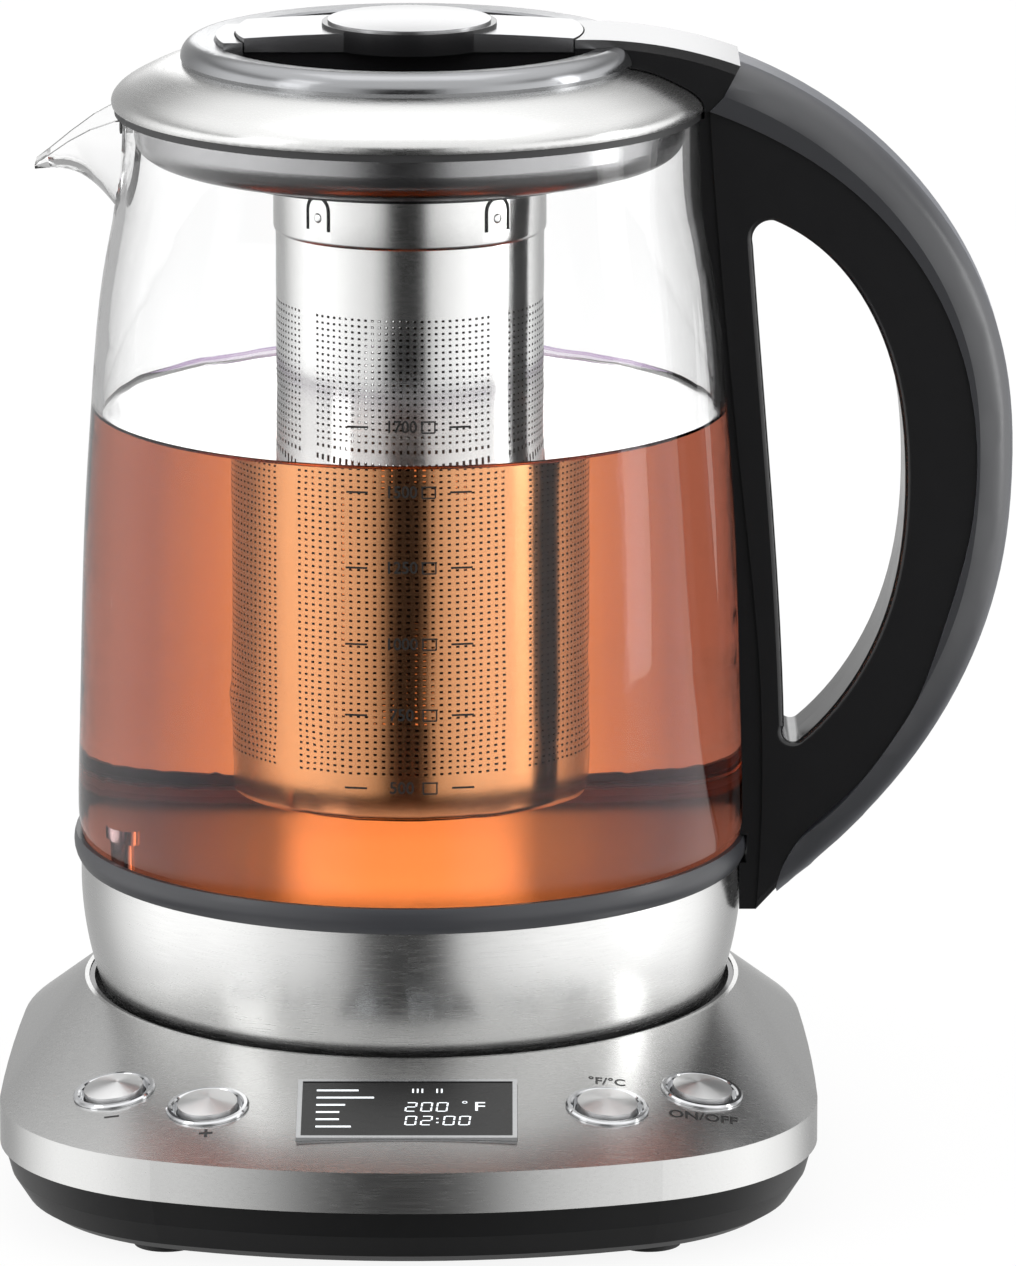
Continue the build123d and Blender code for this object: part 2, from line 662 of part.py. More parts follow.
def trim_ring():
    outer = cup_rim_radius + ring_foot_step
    seat = cup_rim_radius - ring_seat_step
    inner = glass_foot_radius + ring_top_step
    top = cup_rim_z + ring_height
    bulge = (cup_rim_radius + ring_bulge, cup_rim_z + ring_height / 2)
    edges = [ThreePointArc((outer, cup_rim_z), bulge, (inner + ring_wall, top))]
    edges += Polyline((inner + ring_wall, top), (inner, top), (inner, glass_foot_z), (seat, glass_foot_z),
                      (seat, cup_rim_z), (outer, cup_rim_z)).edges()
    return turned_edges(edges)


def gasket():
    return tube(glass_foot_radius, glass_foot_radius - gasket_width, plate_z, glass_foot_z)


def heating_element():
    low = cup_rim_z - element_height
    half = element_width / 2
    ring = turned([(element_radius - half, low + half / 2), (element_radius - half / 2, low),
                   (element_radius + half / 2, low), (element_radius + half, low + half / 2),
                   (element_radius + half, cup_rim_z), (element_radius - half, cup_rim_z)], element_arc)
    for angle in (3.0, element_arc - 3.0):
        end = polar(Vector(0, 0), element_radius, angle)
        ring += disc(half * 0.6, low - half, low + half, (end.X, end.Y))
    return ring


def temperature_probe():
    stem = disc(probe_radius, plate_z, plate_z + probe_height, probe_at)
    cap = disc(probe_cap_radius, plate_z + probe_height, plate_z + probe_height + probe_cap_height, probe_at)
    return stem + cap


def jug_bottom_cover():
    return tube(cup_foot_radius - cup_sheet, connector_outer + connector_gap, well_floor_z,
                well_floor_z + jug_cover_thickness)


# ---- glass: a turned wall with a pulled spout ----
def spout_section(out, rim_z, half_width, depth):
    turns = [radians(30 * step) for step in range(12)]
    points = [(-out, half_width * cos(turn), rim_z + depth * sin(turn)) for turn in turns]
    return Face(Wire([Edge.make_spline([Vector(*point) for point in points], periodic=True)]))


def glass_body():
    wall = turned_sheet(glass_outline, glass_wall)
    inner = inward(glass_outline, glass_wall)
    cavity = turned_fill([(point.X, point.Y) for point in inner], glass_foot_z, glass_top_z)
    sections = placed(spout_line, glass_top_radius, glass_top_z)
    beak = loft([spout_section(*section) for section in sections])
    reach_of_channel = glass_top_radius + spout_channel_reach
    inside = [(x, z, half - spout_wall, depth - spout_wall) for x, z, half, depth in sections if x < reach_of_channel]
    x, z, half, depth = inside[0]
    inside.insert(0, (x - spout_channel_start, z + spout_channel_rise, half, depth))
    channel = loft([spout_section(*section) for section in inside])
    far = 2 * glass_top_radius
    rim = [(-far, sections[-1][1] - spout_rim_drop)] + [(-x, z) for x, z, _, _ in reversed(sections[1:])]
    rim += [(glass_wall / 2 - glass_top_radius, glass_top_z), (0.0, glass_top_z), (0.0, above_all), (-far, above_all)]
    above = extrude(Plane.XZ * make_face(Polyline(*rim, close=True)), glass_top_radius, both=True)
    mouth = disc(glass_top_radius - glass_wall, glass_top_z - spout_line[0][3], above_all)
    glass = wall + (beak - cavity - mouth) - channel - above
    return solid_of(glass)


# ---- collar ----
def arm_notch():
    # the gap in the rim that the arm passes through
    width = rim_outer_radius - socket_radius + arm_notch_margin
    height = rim_top_z - dome_top_z + arm_notch_margin
    return Pos(socket_radius + width / 2, 0, dome_top_z + height / 2) * Box(
        width, strap_width + 2 * arm_gap, height)


def rim_ring():
    # a flat bright lip round the opening, then a rounded shoulder down to the dome
    lip_edge_z = rim_top_z - rim_inner_drop
    crest = (opening_radius + rim_crest_width, rim_top_z)
    shoulder = (rim_outer_radius - rim_shoulder_inset, rim_top_z - rim_shoulder_drop)
    edge = (rim_outer_radius, dome_top_z + rim_edge_rise)
    edges = [ThreePointArc(crest, shoulder, edge)]
    edges += Polyline(edge, (dome_top_radius, dome_top_z), (insert_outer_radius, dome_top_z),
                      (insert_outer_radius, rim_step_z), (opening_radius, rim_step_z),
                      (opening_radius, lip_edge_z - rim_inner_round), (opening_radius + rim_inner_round, lip_edge_z),
                      crest).edges()
    return solid_of(turned_edges(edges) - arm_notch())


def collar_dome():
    sheet = turned_sheet(dome_outline, dome_sheet)
    return sheet + tube(dome_top_radius, insert_outer_radius + insert_fit, dome_top_z - dome_sheet, dome_top_z)


def collar_insert():
    floor_low = insert_floor_z - insert_floor_thickness
    flange_top = dome_top_z - dome_sheet
    flange_low = flange_top - insert_flange_thickness
    flange_radius = insert_outer_radius + insert_flange_width
    lip_top = skirt_lip[1] - insert_lip_gap
    lip_low = lip_top - insert_lip_thickness
    lip_radius = socket_radius + insert_lip_width
    ring = turned([(socket_radius, lip_low), (lip_radius, lip_low), (lip_radius, lip_top),
                   (socket_radius + insert_wall, lip_top), (socket_radius + insert_wall, floor_low),
                   (insert_outer_radius, floor_low), (insert_outer_radius, flange_low), (flange_radius, flange_low),
                   (flange_radius, flange_top), (insert_outer_radius, flange_top),
                   (insert_outer_radius, rim_step_z), (opening_radius, rim_step_z),
                   (opening_radius, insert_floor_z), (socket_radius, insert_floor_z)])
    return solid_of(ring - arm_notch())


def collar_skirt():
    lip_out, lip_low = skirt_lip
    top = dome_edge_z
    wall = [Vector(lip_out, lip_low), Vector((lip_out + skirt_radius) / 2 + skirt_bend, lip_low + skirt_bend_rise),
            Vector(skirt_radius - skirt_corner, skirt_bottom_z - skirt_corner),
            Vector(skirt_radius, skirt_bottom_z + skirt_heel)]
    inner = inward([(point.X, point.Y) for point in wall], skirt_sheet)
    inner[-1] = Vector(skirt_radius - skirt_sheet, wall[-1].Y)
    flange = dome_edge_radius - dome_sheet - skirt_flange_gap
    edges = [Spline(*wall), Spline(*reversed(inner)), Line(inner[0], wall[0])]
    edges += Polyline(wall[-1], (skirt_radius, top), (flange, top), (flange, top + skirt_sheet),
                      (skirt_radius - skirt_sheet, top + skirt_sheet), inner[-1]).edges()
    return turned_edges(edges)


def collar_seal():
    return tube(glass_top_radius + collar_seal_overhang, skirt_radius + seal_gap, glass_top_z, dome_edge_z)


def spout_bridge():
    low = glass_top_z - bridge_height
    outer, inner = glass_top_radius - seal_gap, skirt_radius + seal_gap
    ring = turned([(inner, low), (outer, low), (outer, glass_top_z), (inner, glass_top_z)], 2 * bridge_angle)
    return Rot(0, 0, 180 - bridge_angle) * ring


# ---- handle: inner body, outer cover, spine along the glass, arm over the collar ----
def side_face(edges, half_width):
    return extrude(Plane.XZ * make_face(edges), half_width, both=True)


def jug_envelope(gap):
    wall = [Vector(r + gap, z) for r, z in glass_outline]
    glass = turned_edges([Spline(*wall), Line(wall[-1], (0, wall[-1].Y)), Line((0, wall[-1].Y), (0, wall[0].Y)),
                          Line((0, wall[0].Y), wall[0])])
    ring = disc(cup_rim_radius + ring_bulge + gap, cup_rim_z - gap, cup_rim_z + ring_height + gap)
    cup = disc(cup_rim_radius + gap, 0, cup_rim_z)
    dome = disc(dome_edge_radius + gap, glass_top_z, rim_top_z)
    return glass + ring + cup + dome


def handle_cover():
    top, bottom = cover_outline[0], cover_outline[-1]
    edges = [Spline(*cover_outline), Line(bottom, seam_outline[-1]), Spline(*reversed(seam_outline)),
             Line(seam_outline[0], arm_nose), Line(arm_nose, top)]
    cover = side_face(edges, cover_half_width)
    side = (cover_half_width + handle_half_width) / 2
    outer = [edge for edge in cover.edges().filter_by(GeomType.BSPLINE)
             if edge.bounding_box().max.X > seam_limit and abs(edge.center().Y) > side]
    return fillet(outer, cover_round)


def handle_body():
    edges = [Spline(*seam_outline), Line(seam_outline[-1], spine_seam[-1]), Spline(*reversed(spine_seam))]
    hole = [Spline(*hole_outer), ThreePointArc(hole_outer[-1], hole_bottom, hole_inner[0]), Spline(*hole_inner),
            ThreePointArc(hole_inner[-1], hole_top, hole_outer[0])]
    body = side_face(edges, handle_half_width) - side_face(hole, handle_half_width * 2)
    for z in handle_screw_z:
        body -= handle_screw(z)
    rims = [edge for edge in body.edges() if abs(abs(edge.center().Y) - handle_half_width) < 0.01
            and edge.center().X > hole_inner[-1][0] and edge.bounding_box().max.X < hole_limit]
    return fillet(rims, body_round)


def handle_spine():
    foot = spine_seam[-1]
    inner_foot = (glass_foot_radius - spine_depth, foot[1])
    inner_head = (inner_foot[0], spine_seam[0][1])
    edges = [Spline(*spine_seam), Line(foot, inner_foot), Line(inner_foot, inner_head),
             Line(inner_head, spine_seam[0])]
    strip = side_face(edges, spine_half_width) - jug_envelope(spine_gap)
    for z in handle_screw_z:
        strip -= handle_screw(z, screw_clearance)
    return solid_of(strip)


def arm_plate():
    edges = [ThreePointArc(arm_start, arm_middle, arm_end), Line(arm_end, arm_under_end),
             ThreePointArc(arm_under_end, arm_under_middle, arm_under_start), Line(arm_under_start, arm_start)]
    return side_face(edges, half_strap) - disc(socket_radius, 0, above_all)


def under_dome(gap):
    line = [Vector(r + gap, z + gap) for r, z in dome_outline]
    mouth, floor = opening_radius - gap, insert_floor_z + gap
    edges = [Spline(*line)]
    edges += Polyline(line[-1], (mouth, line[-1].Y), (mouth, floor), (0, floor), (0, cup_rim_z),
                      (line[0].X, cup_rim_z), line[0]).edges()
    return turned_edges(edges)


def handle_arm():
    corner = (arm_start[0], seam_outline[0][1])
    edges = [ThreePointArc(arm_under_start, arm_under_middle, arm_under_end), Line(arm_under_end, arm_nose),
             Line(arm_nose, seam_outline[0]), Line(seam_outline[0], corner), Line(corner, arm_under_start)]
    block = side_face(edges, half_strap) - disc(socket_radius, 0, above_all)
    return solid_of(block - under_dome(arm_gap))


def lid_stub():
    low, high = insert_floor_z, strap_end_z - stub_drop
    bar = Pos(-opening_radius, 0, (low + high) / 2) * Box(opening_radius, strap_width, high - low)
    return solid_of(bar & tube(opening_radius, socket_radius, low, high))


def handle_screw(z, gap=0.0):
    # from the jug's side of the spine into the handle's body
    head = extrude(Circle(screw_head_radius + gap), screw_head_height)
    shank = Pos(0, 0, screw_head_height) * extrude(Circle(screw_shank_radius + gap), handle_screw_length)
    start = cup_rim_radius + ring_bulge - handle_screw_head_depth + spine_gap
    return Pos(start, 0, z) * Rot(0, 90, 0) * (head + shank)


# ---- lid ----
def lid_body():
    low = lid_plug_z
    floor_low = insert_floor_z - lid_floor_thickness
    inner = lid_radius - lid_wall
    skirt_in = lid_skirt_radius - lid_skirt_wall
    groove = lid_radius - lid_groove
    body = turned([(0, floor_low), (skirt_in, floor_low), (skirt_in, lid_skirt_z), (lid_skirt_radius, lid_skirt_z),
                   (lid_skirt_radius, floor_low), (inner, floor_low), (inner, low), (lid_radius, low),
                   (lid_radius, lid_seal_z), (groove, lid_seal_z), (groove, lid_seal_z + lid_seal_height),
                   (lid_radius, lid_seal_z + lid_seal_height), (lid_radius, insert_floor_z), (0, insert_floor_z)])
    bar_top = strap_end_z - strap_thickness
    bar = Pos(0, 0, (insert_floor_z + bar_top) / 2) * Box(3 * lid_radius, strap_width - 2 * bar_margin,
                                                        bar_top - insert_floor_z)
    return body + (bar & disc(lid_radius, insert_floor_z, bar_top))


def lid_strap():
    low = strap_end_z - strap_thickness
    span = lid_radius + strap_overrun
    edges = [ThreePointArc((-span, strap_end_z), (0, strap_crown_z), (span, strap_end_z)),
             Line((span, strap_end_z), (span, low)), Line((span, low), (-span, low)),
             Line((-span, low), (-span, strap_end_z))]
    strap = side_face(edges, half_strap) & disc(lid_radius, low, above_all)
    return strap + disc(boss_disc_radius, low, strap_crown_z + boss_height)


def lid_disc():
    low = strap_crown_z + boss_height
    edge = (disc_radius, low + disc_thickness * disc_edge)
    dome = ThreePointArc((-disc_radius, edge[1]), (0, low + disc_thickness), edge)
    edges = [dome.trim(0.5, 1.0)] + Polyline(edge, (disc_radius, low), (0, low), (0, low + disc_thickness)).edges()
    return turned_edges(edges)


def lid_seal():
    return tube(socket_radius - lid_seal_bite, lid_radius - lid_groove, lid_seal_z, lid_seal_z + lid_seal_height)


# ---- infuser ----
def infuser_basket():
    top = infuser_seam_z + infuser_lap
    basket = disc(infuser_radius, infuser_bottom_z, top) - disc(
        infuser_radius - infuser_sheet, infuser_bottom_z + infuser_sheet, top)
    return fillet(basket.edges().filter_by(GeomType.CIRCLE).group_by(Axis.Z)[0], infuser_corner)


def infuser_collar():
    return tube(infuser_radius + infuser_sheet, infuser_radius, infuser_seam_z, collar_top_z)


parts = {
    "base_top_cover": base_cover(),
    "base_bottom_housing": base_tub(),
    "well_liner": well_liner(),
    "rubber_feet": [disc(foot_radius, 0, foot_height + foot_inset_depth, at) for at in foot_places],
    "base_screws": [base_screw(x, y) for x, y in base_screws_at],
    "control_board": control_board(),
    "display_frame": display_frame(),
    "display_window": display_window(),
    "display_module": display_module(),
    "buzzer": buzzer(),
    "power_board": power_board(),
    "power_relay": on_power_board(relay_size, relay_x),
    "power_transformer": on_power_board(transformer_size, transformer_x),
    "base_connector": base_connector(),
    "base_contact_ring": contact_ring(turret_top_z - contact_height, turret_top_z + contact_height * 0.5),
    "base_contact_pin": disc(contact_pin_radius, turret_top_z - contact_height, turret_top_z + contact_height * 0.5),
    "cord_gland": cord_gland(),
    "jug_connector": jug_connector(),
    "jug_contact_ring": contact_ring(connector_roof_z, connector_roof_z + contact_height),
    "steel_cup": steel_cup(),
    "jug_bottom_cover": jug_bottom_cover(),
    "heating_plate": disc(plate_radius, cup_rim_z, plate_z),
    "heating_element": heating_element(),
    "temperature_probe": temperature_probe(),
    "glass_gasket": gasket(),
    "trim_ring": trim_ring(),
    "glass_body": glass_body(),
    "collar_dome": collar_dome(),
    "collar_insert": collar_insert(),
    "collar_skirt": collar_skirt(),
    "collar_seal": collar_seal(),
    "spout_bridge": spout_bridge(),
    "rim_ring": rim_ring(),
    "handle_screws": [handle_screw(z) for z in handle_screw_z],
    "handle_body": handle_body(),
    "handle_cover": handle_cover(),
    "handle_spine": handle_spine(),
    "handle_arm": handle_arm(),
    "arm_plate": arm_plate(),
    "lid_stub": lid_stub(),
    "lid_body": lid_body(),
    "lid_strap": lid_strap(),
    "lid_disc": lid_disc(),
    "lid_seal": lid_seal(),
    "infuser_basket": infuser_basket(),
    "infuser_collar": infuser_collar(),
}
for number, plane in enumerate(key_planes, 1):
    parts[f"key_bezel_{number}"] = key_bezel(plane)
    parts[f"key_{number}"] = key_cap(plane)
    parts[f"key_switch_{number}"] = tact_switch(plane)

footprint = Compound(children=[solid for shape in parts.values()
                               for piece in (shape if isinstance(shape, list) else [shape])
                               for solid in piece.solids()]).bounding_box()
to_origin = Pos(-footprint.center().X, -footprint.center().Y, 0)
os.makedirs("parts", exist_ok=True)
for name, shape in parts.items():
    pieces = shape if isinstance(shape, list) else [shape]
    group = Compound(children=[to_origin * solid for piece in pieces for solid in piece.solids()])
    export_step(group, f"parts/{name}.step")
    print(name, len(group.solids()), "solid, volume", round(group.volume), "mm3")
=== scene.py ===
import bpy
import bmesh
import math
from mathutils import Matrix, Vector
from mathutils.bvhtree import BVHTree


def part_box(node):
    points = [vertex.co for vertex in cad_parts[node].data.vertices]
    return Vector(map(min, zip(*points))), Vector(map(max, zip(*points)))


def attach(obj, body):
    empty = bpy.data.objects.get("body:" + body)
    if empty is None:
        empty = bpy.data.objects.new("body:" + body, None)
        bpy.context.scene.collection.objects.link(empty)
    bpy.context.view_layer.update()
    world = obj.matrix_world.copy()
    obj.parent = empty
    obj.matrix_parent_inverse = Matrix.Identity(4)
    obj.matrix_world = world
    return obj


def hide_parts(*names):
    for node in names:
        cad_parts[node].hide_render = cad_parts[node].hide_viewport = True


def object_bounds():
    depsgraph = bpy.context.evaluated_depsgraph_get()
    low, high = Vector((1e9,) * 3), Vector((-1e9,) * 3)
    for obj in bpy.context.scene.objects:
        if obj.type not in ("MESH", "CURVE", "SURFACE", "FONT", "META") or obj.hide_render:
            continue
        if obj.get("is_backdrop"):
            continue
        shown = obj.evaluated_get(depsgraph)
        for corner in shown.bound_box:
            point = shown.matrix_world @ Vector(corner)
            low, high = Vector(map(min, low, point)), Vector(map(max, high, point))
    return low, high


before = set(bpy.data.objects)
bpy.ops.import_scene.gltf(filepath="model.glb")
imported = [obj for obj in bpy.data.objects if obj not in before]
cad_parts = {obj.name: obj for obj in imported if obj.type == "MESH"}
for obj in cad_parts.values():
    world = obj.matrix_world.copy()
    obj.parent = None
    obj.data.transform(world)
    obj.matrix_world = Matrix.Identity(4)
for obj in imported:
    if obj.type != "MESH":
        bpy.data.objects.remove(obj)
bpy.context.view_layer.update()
scene = bpy.context.scene
mm = 0.001

# The jug, its cup and the well all turn round one upright axis, which the heating plate is centred on.
plateLow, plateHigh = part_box("heating_plate")
axisAt = Vector(((plateLow.x + plateHigh.x) / 2, (plateLow.y + plateHigh.y) / 2, 0))
print("frame loaded, kettle axis at", tuple(round(v / mm, 2) for v in axisAt))

# the camera of a product picture: far off, behind a long lens
view = {
    "lens": 260.8,                      # mm, on the sensor below
    "sensor": 36,
    "clip": (0.05, 60),
    "distance": 2.05,
    "elevation": 13.2,                  # degrees above the horizontal
    "target": (21.7 * mm, 0.0, 112.5 * mm),   # from the foot of the kettle's axis
}
cameraData = bpy.data.cameras.new("studioCamera")
cameraData.lens = view["lens"]
cameraData.sensor_width = view["sensor"]
cameraData.clip_start, cameraData.clip_end = view["clip"]
camera = bpy.data.objects.new("studioCamera", cameraData)
scene.collection.objects.link(camera)
tilt = math.radians(view["elevation"])
camera.location = axisAt + Vector(view["target"]) + view["distance"] * Vector((0, -math.cos(tilt), math.sin(tilt)))
camera.rotation_euler = (math.pi / 2 - tilt, 0, 0)
scene.camera = camera


def colour(text):
    # an sRGB hex colour as the linear values that the sockets hold
    parts = [int(text[i:i + 2], 16) / 255 for i in (1, 3, 5)]
    linear = [p / 12.92 if p <= 0.04045 else ((p + 0.055) / 1.055) ** 2.4 for p in parts]
    return (*linear, 1.0)


def addNode(tree, kind, inputs=None, stops=(), **settings):
    # one node with its settings; an input is a value or another node's output, and a ramp has stops
    node = tree.nodes.new(kind)
    for name, value in settings.items():
        setattr(node, name, value)
    for name, value in (inputs or {}).items():
        socket = node.inputs[name]
        if isinstance(value, bpy.types.NodeSocket):
            tree.links.new(value, socket)
        else:
            socket.default_value = value
    if stops:
        marks = node.color_ramp.elements
        while len(marks) < len(stops):
            marks.new(0.5)
        for mark, (position, shade) in zip(marks, stops):
            mark.position, mark.color = position, shade
    return node


def newFinish(name, base, **sockets):
    material = bpy.data.materials.new(name)
    material.use_nodes = True
    shader = material.node_tree.nodes["Principled BSDF"]
    shader.inputs["Base Color"].default_value = colour(base)
    for socket, value in sockets.items():
        shader.inputs[socket.replace("_", " ")].default_value = value
    return material, material.node_tree, shader


def fineGrain(tree, shader, size, depth, roughness=None, spread=0.0, stretch=(1, 1, 1)):
    # a moulded or ground surface's grain: bump, and a little change of gloss; size in mm
    place = addNode(tree, "ShaderNodeTexCoord")
    scaled = addNode(tree, "ShaderNodeMapping", {"Vector": place.outputs["Object"], "Scale": stretch})
    noise = addNode(tree, "ShaderNodeTexNoise", {"Vector": scaled.outputs[0], "Scale": 1 / (size * mm),
                                                 "Detail": 3.0})
    bump = addNode(tree, "ShaderNodeBump", {"Height": noise.outputs[0], "Strength": depth, "Distance": 0.1 * mm})
    tree.links.new(bump.outputs[0], shader.inputs["Normal"])
    if spread:
        gloss = addNode(tree, "ShaderNodeMapRange", {"Value": noise.outputs[0], "From Min": 0.3, "From Max": 0.7,
                                                     "To Min": roughness - spread, "To Max": roughness + spread})
        tree.links.new(gloss.outputs[0], shader.inputs["Roughness"])


def brushedRound(name, base, roughness, around, line, depth):
    # stainless steel turned against an abrasive band: hair lines run round the piece and pull reflections
    # into tall bands
    material, tree, shader = newFinish(name, base, Metallic=1.0, Roughness=roughness, Anisotropic=around,
                                       Anisotropic_Rotation=0.25)
    tangent = addNode(tree, "ShaderNodeTangent", direction_type="RADIAL", axis="Z")
    tree.links.new(tangent.outputs[0], shader.inputs["Tangent"])
    place = addNode(tree, "ShaderNodeTexCoord")
    centred = addNode(tree, "ShaderNodeMapping", {"Vector": place.outputs["Object"], "Location": tuple(-axisAt)})
    split = addNode(tree, "ShaderNodeSeparateXYZ", {"Vector": centred.outputs[0]})
    flat = addNode(tree, "ShaderNodeCombineXYZ", {"X": split.outputs["X"], "Y": split.outputs["Y"]})
    radius = addNode(tree, "ShaderNodeVectorMath", {0: flat.outputs[0]}, operation="LENGTH")
    turn = addNode(tree, "ShaderNodeMath", {0: split.outputs["X"], 1: split.outputs["Y"]}, operation="ARCTAN2")
    # the lines change far more slowly along their run than across it
    slow = addNode(tree, "ShaderNodeMath", {0: turn.outputs[0], 1: 0.004}, operation="MULTIPLY")
    lines = addNode(tree, "ShaderNodeCombineXYZ", {"X": radius.outputs["Value"], "Y": slow.outputs[0],
                                                   "Z": split.outputs["Z"]})
    noise = addNode(tree, "ShaderNodeTexNoise", {"Vector": lines.outputs[0], "Scale": 1 / (line * mm),
                                                 "Detail": 4.0})
    bump = addNode(tree, "ShaderNodeBump", {"Height": noise.outputs[0], "Strength": depth, "Distance": 0.05 * mm})
    tree.links.new(bump.outputs[0], shader.inputs["Normal"])
    gloss = addNode(tree, "ShaderNodeMapRange", {"Value": noise.outputs[0], "From Min": 0.3, "From Max": 0.7,
                                                 "To Min": roughness * 0.85, "To Max": roughness * 1.15})
    tree.links.new(gloss.outputs[0], shader.inputs["Roughness"])
    return material


def brushedSheet(name, base, roughness, line, depth):
    # the base's steel pressing, brushed straight across before it was pressed
    material, tree, shader = newFinish(name, base, Metallic=1.0, Roughness=roughness)
    fineGrain(tree, shader, line, depth, roughness, roughness * 0.12, (0.02, 1, 1))
    return material


def polished(name, base, roughness, **sockets):
    # smooth metal, with the slow waviness that keeps its reflections from being perfect
    material, tree, shader = newFinish(name, base, Metallic=1.0, Roughness=roughness, **sockets)
    fineGrain(tree, shader, 8.0, 0.01)
    return material


def moulded(name, base, roughness, grain, depth, **sockets):
    # plastic or rubber out of a mould, with the mould's own grain in mm
    material, tree, shader = newFinish(name, base, Roughness=roughness, IOR=1.5, **sockets)
    fineGrain(tree, shader, grain, depth, roughness, roughness * 0.1)
    return material


def spunCap(name, base):
    # aluminium faced on a lathe: fine rings that fan the light out from the middle
    material, tree, shader = newFinish(name, base, Metallic=1.0, Roughness=0.34, Anisotropic=0.9,
                                       Anisotropic_Rotation=0.25)
    tangent = addNode(tree, "ShaderNodeTangent", direction_type="RADIAL", axis="Z")
    tree.links.new(tangent.outputs[0], shader.inputs["Tangent"])
    return material


# steel turned against abrasive: light stands on it in tall streaks
brushedCup = brushedRound("stainlessSteelBrushedRound", "#d6d6d5", 0.25, 0.75, 0.35, 0.05)
brushedDome = brushedRound("stainlessSteelBrushedDome", "#d2d2d1", 0.27, 0.6, 0.3, 0.012)
rimSteel = brushedRound("stainlessSteelSpunRim", "#97989a", 0.22, 0.6, 0.3, 0.02)
drawnSteel = brushedRound("stainlessSteelDrawn", "#a9a9a9", 0.2, 0.4, 0.4, 0.015)
infuserSteel = brushedRound("stainlessSteelDeepDrawn", "#dededd", 0.17, 0.5, 0.4, 0.02)
# straight brushing: the light spreads along the deck
deckSteel = brushedSheet("stainlessSteelBrushedSheet", "#c6c6c5", 0.25, 0.3, 0.01)
# pressed or satin metal: soft, broad reflections
skirtSteel = polished("stainlessSteelPressed", "#a2a2a3", 0.22)
plateSteel = polished("stainlessSteelPlateSatin", "#ebeae9", 0.17)
armMetal = polished("aluminiumBrushedCover", "#a2a2a3", 0.24)
satinMetal = polished("aluminiumSatin", "#b2b2b3", 0.24)
# painted shade: a dark, dull steel for the inside of the infuser stands in for the shade in there
paintedShadeSteel = polished("stainlessSteelPaintedShadeInside", "#4b423b", 0.5)
# plating mirrors sharply; the caps fan the light out
chromeTrim = polished("chromePlatedTrim", "#d9dadc", 0.06)
spunMetal = spunCap("aluminiumSpun", "#d8d8d8")
# metals that only show from below or inside: turned, cast and zinc plated
brassContact = polished("brassTurned", "#c9a45c", 0.2)
castAluminium = polished("aluminiumCast", "#a9a9aa", 0.45)
screwSteel = polished("steelZincPlated", "#a3a4a6", 0.3)
# gloss plastic mirrors the studio darkly, satin plastic blurs it
glossBlack = moulded("polypropyleneGlossBlack", "#1b1b1c", 0.18, 6.0, 0.012)
satinBlack = moulded("polypropyleneSatinBlack", "#121213", 0.34, 0.35, 0.04, Specular_IOR_Level=0.75)
# the soft-touch cover has a cool bloom where it turns away
slateGrip = moulded("polypropyleneSatinSlate", "#28292d", 0.34, 0.35, 0.02, Specular_IOR_Level=0.95,
                    Sheen_Weight=0.3, Sheen_Roughness=0.4, Sheen_Tint=colour("#c4c8d6"))
ringGrey = moulded("nylonRingGrey", "#35363a", 0.34, 0.35, 0.05)        # dark grey with a dull shine
rubberBlack = moulded("rubberMoulded", "#131313", 0.6, 0.5, 0.1)        # matt, hardly any shine
siliconeClear = moulded("siliconeTranslucent", "#cfc8c2", 0.4, 0.5, 0.03)    # milky
siliconeGrey = moulded("siliconeMoulded", "#2a2a2b", 0.45, 0.5, 0.06)   # dull dark grey
boardGreen = moulded("fibreglassSolderMask", "#0c3a1e", 0.4, 0.6, 0.05)      # lacquered green
partBlack = moulded("epoxyMoulded", "#111112", 0.5, 0.5, 0.05)          # matt black, fine grit
displayGlass = moulded("glassSmokedBlack", "#040405", 0.05, 9.0, 0.004)      # a dark mirror
printBlack = moulded("inkScreenPrinted", "#161616", 0.45, 0.2, 0.02)    # flat black film


def clearGlassFinish():
    # borosilicate glass: fire-polished, so perfectly smooth, with a faint grey where light goes a long way in it
    material, tree, shader = newFinish("glassBorosilicate", "#ffffff", Roughness=0.0, IOR=1.47,
                                       Transmission_Weight=1.0, Specular_Tint=colour("#9c9c9c"))
    absorb = addNode(tree, "ShaderNodeVolumeAbsorption", {"Color": colour("#c3cbc9"), "Density": 4.0})
    out = tree.nodes["Material Output"]
    tree.links.new(absorb.outputs[0], out.inputs["Volume"])
    return material


brew = {
    "absorb": "#f9c570", "density": 24.0,
    # painted shade: the tea's colour, darker and mauve by how far its wall turns away from the eye
    "shades": ((0.04, "#ffffff"), (0.1, "#c9b8d6"), (0.17, "#9c8ab4"), (0.27, "#c5adcc")),
    "level": 0.8,                       # a face whose normal rises this much is the tea's surface
    "mirrorFrom": 0.4, "mirrorTo": 0.85, "mirror": 0.72,       # turned away so far to so far, it mirrors this much
}


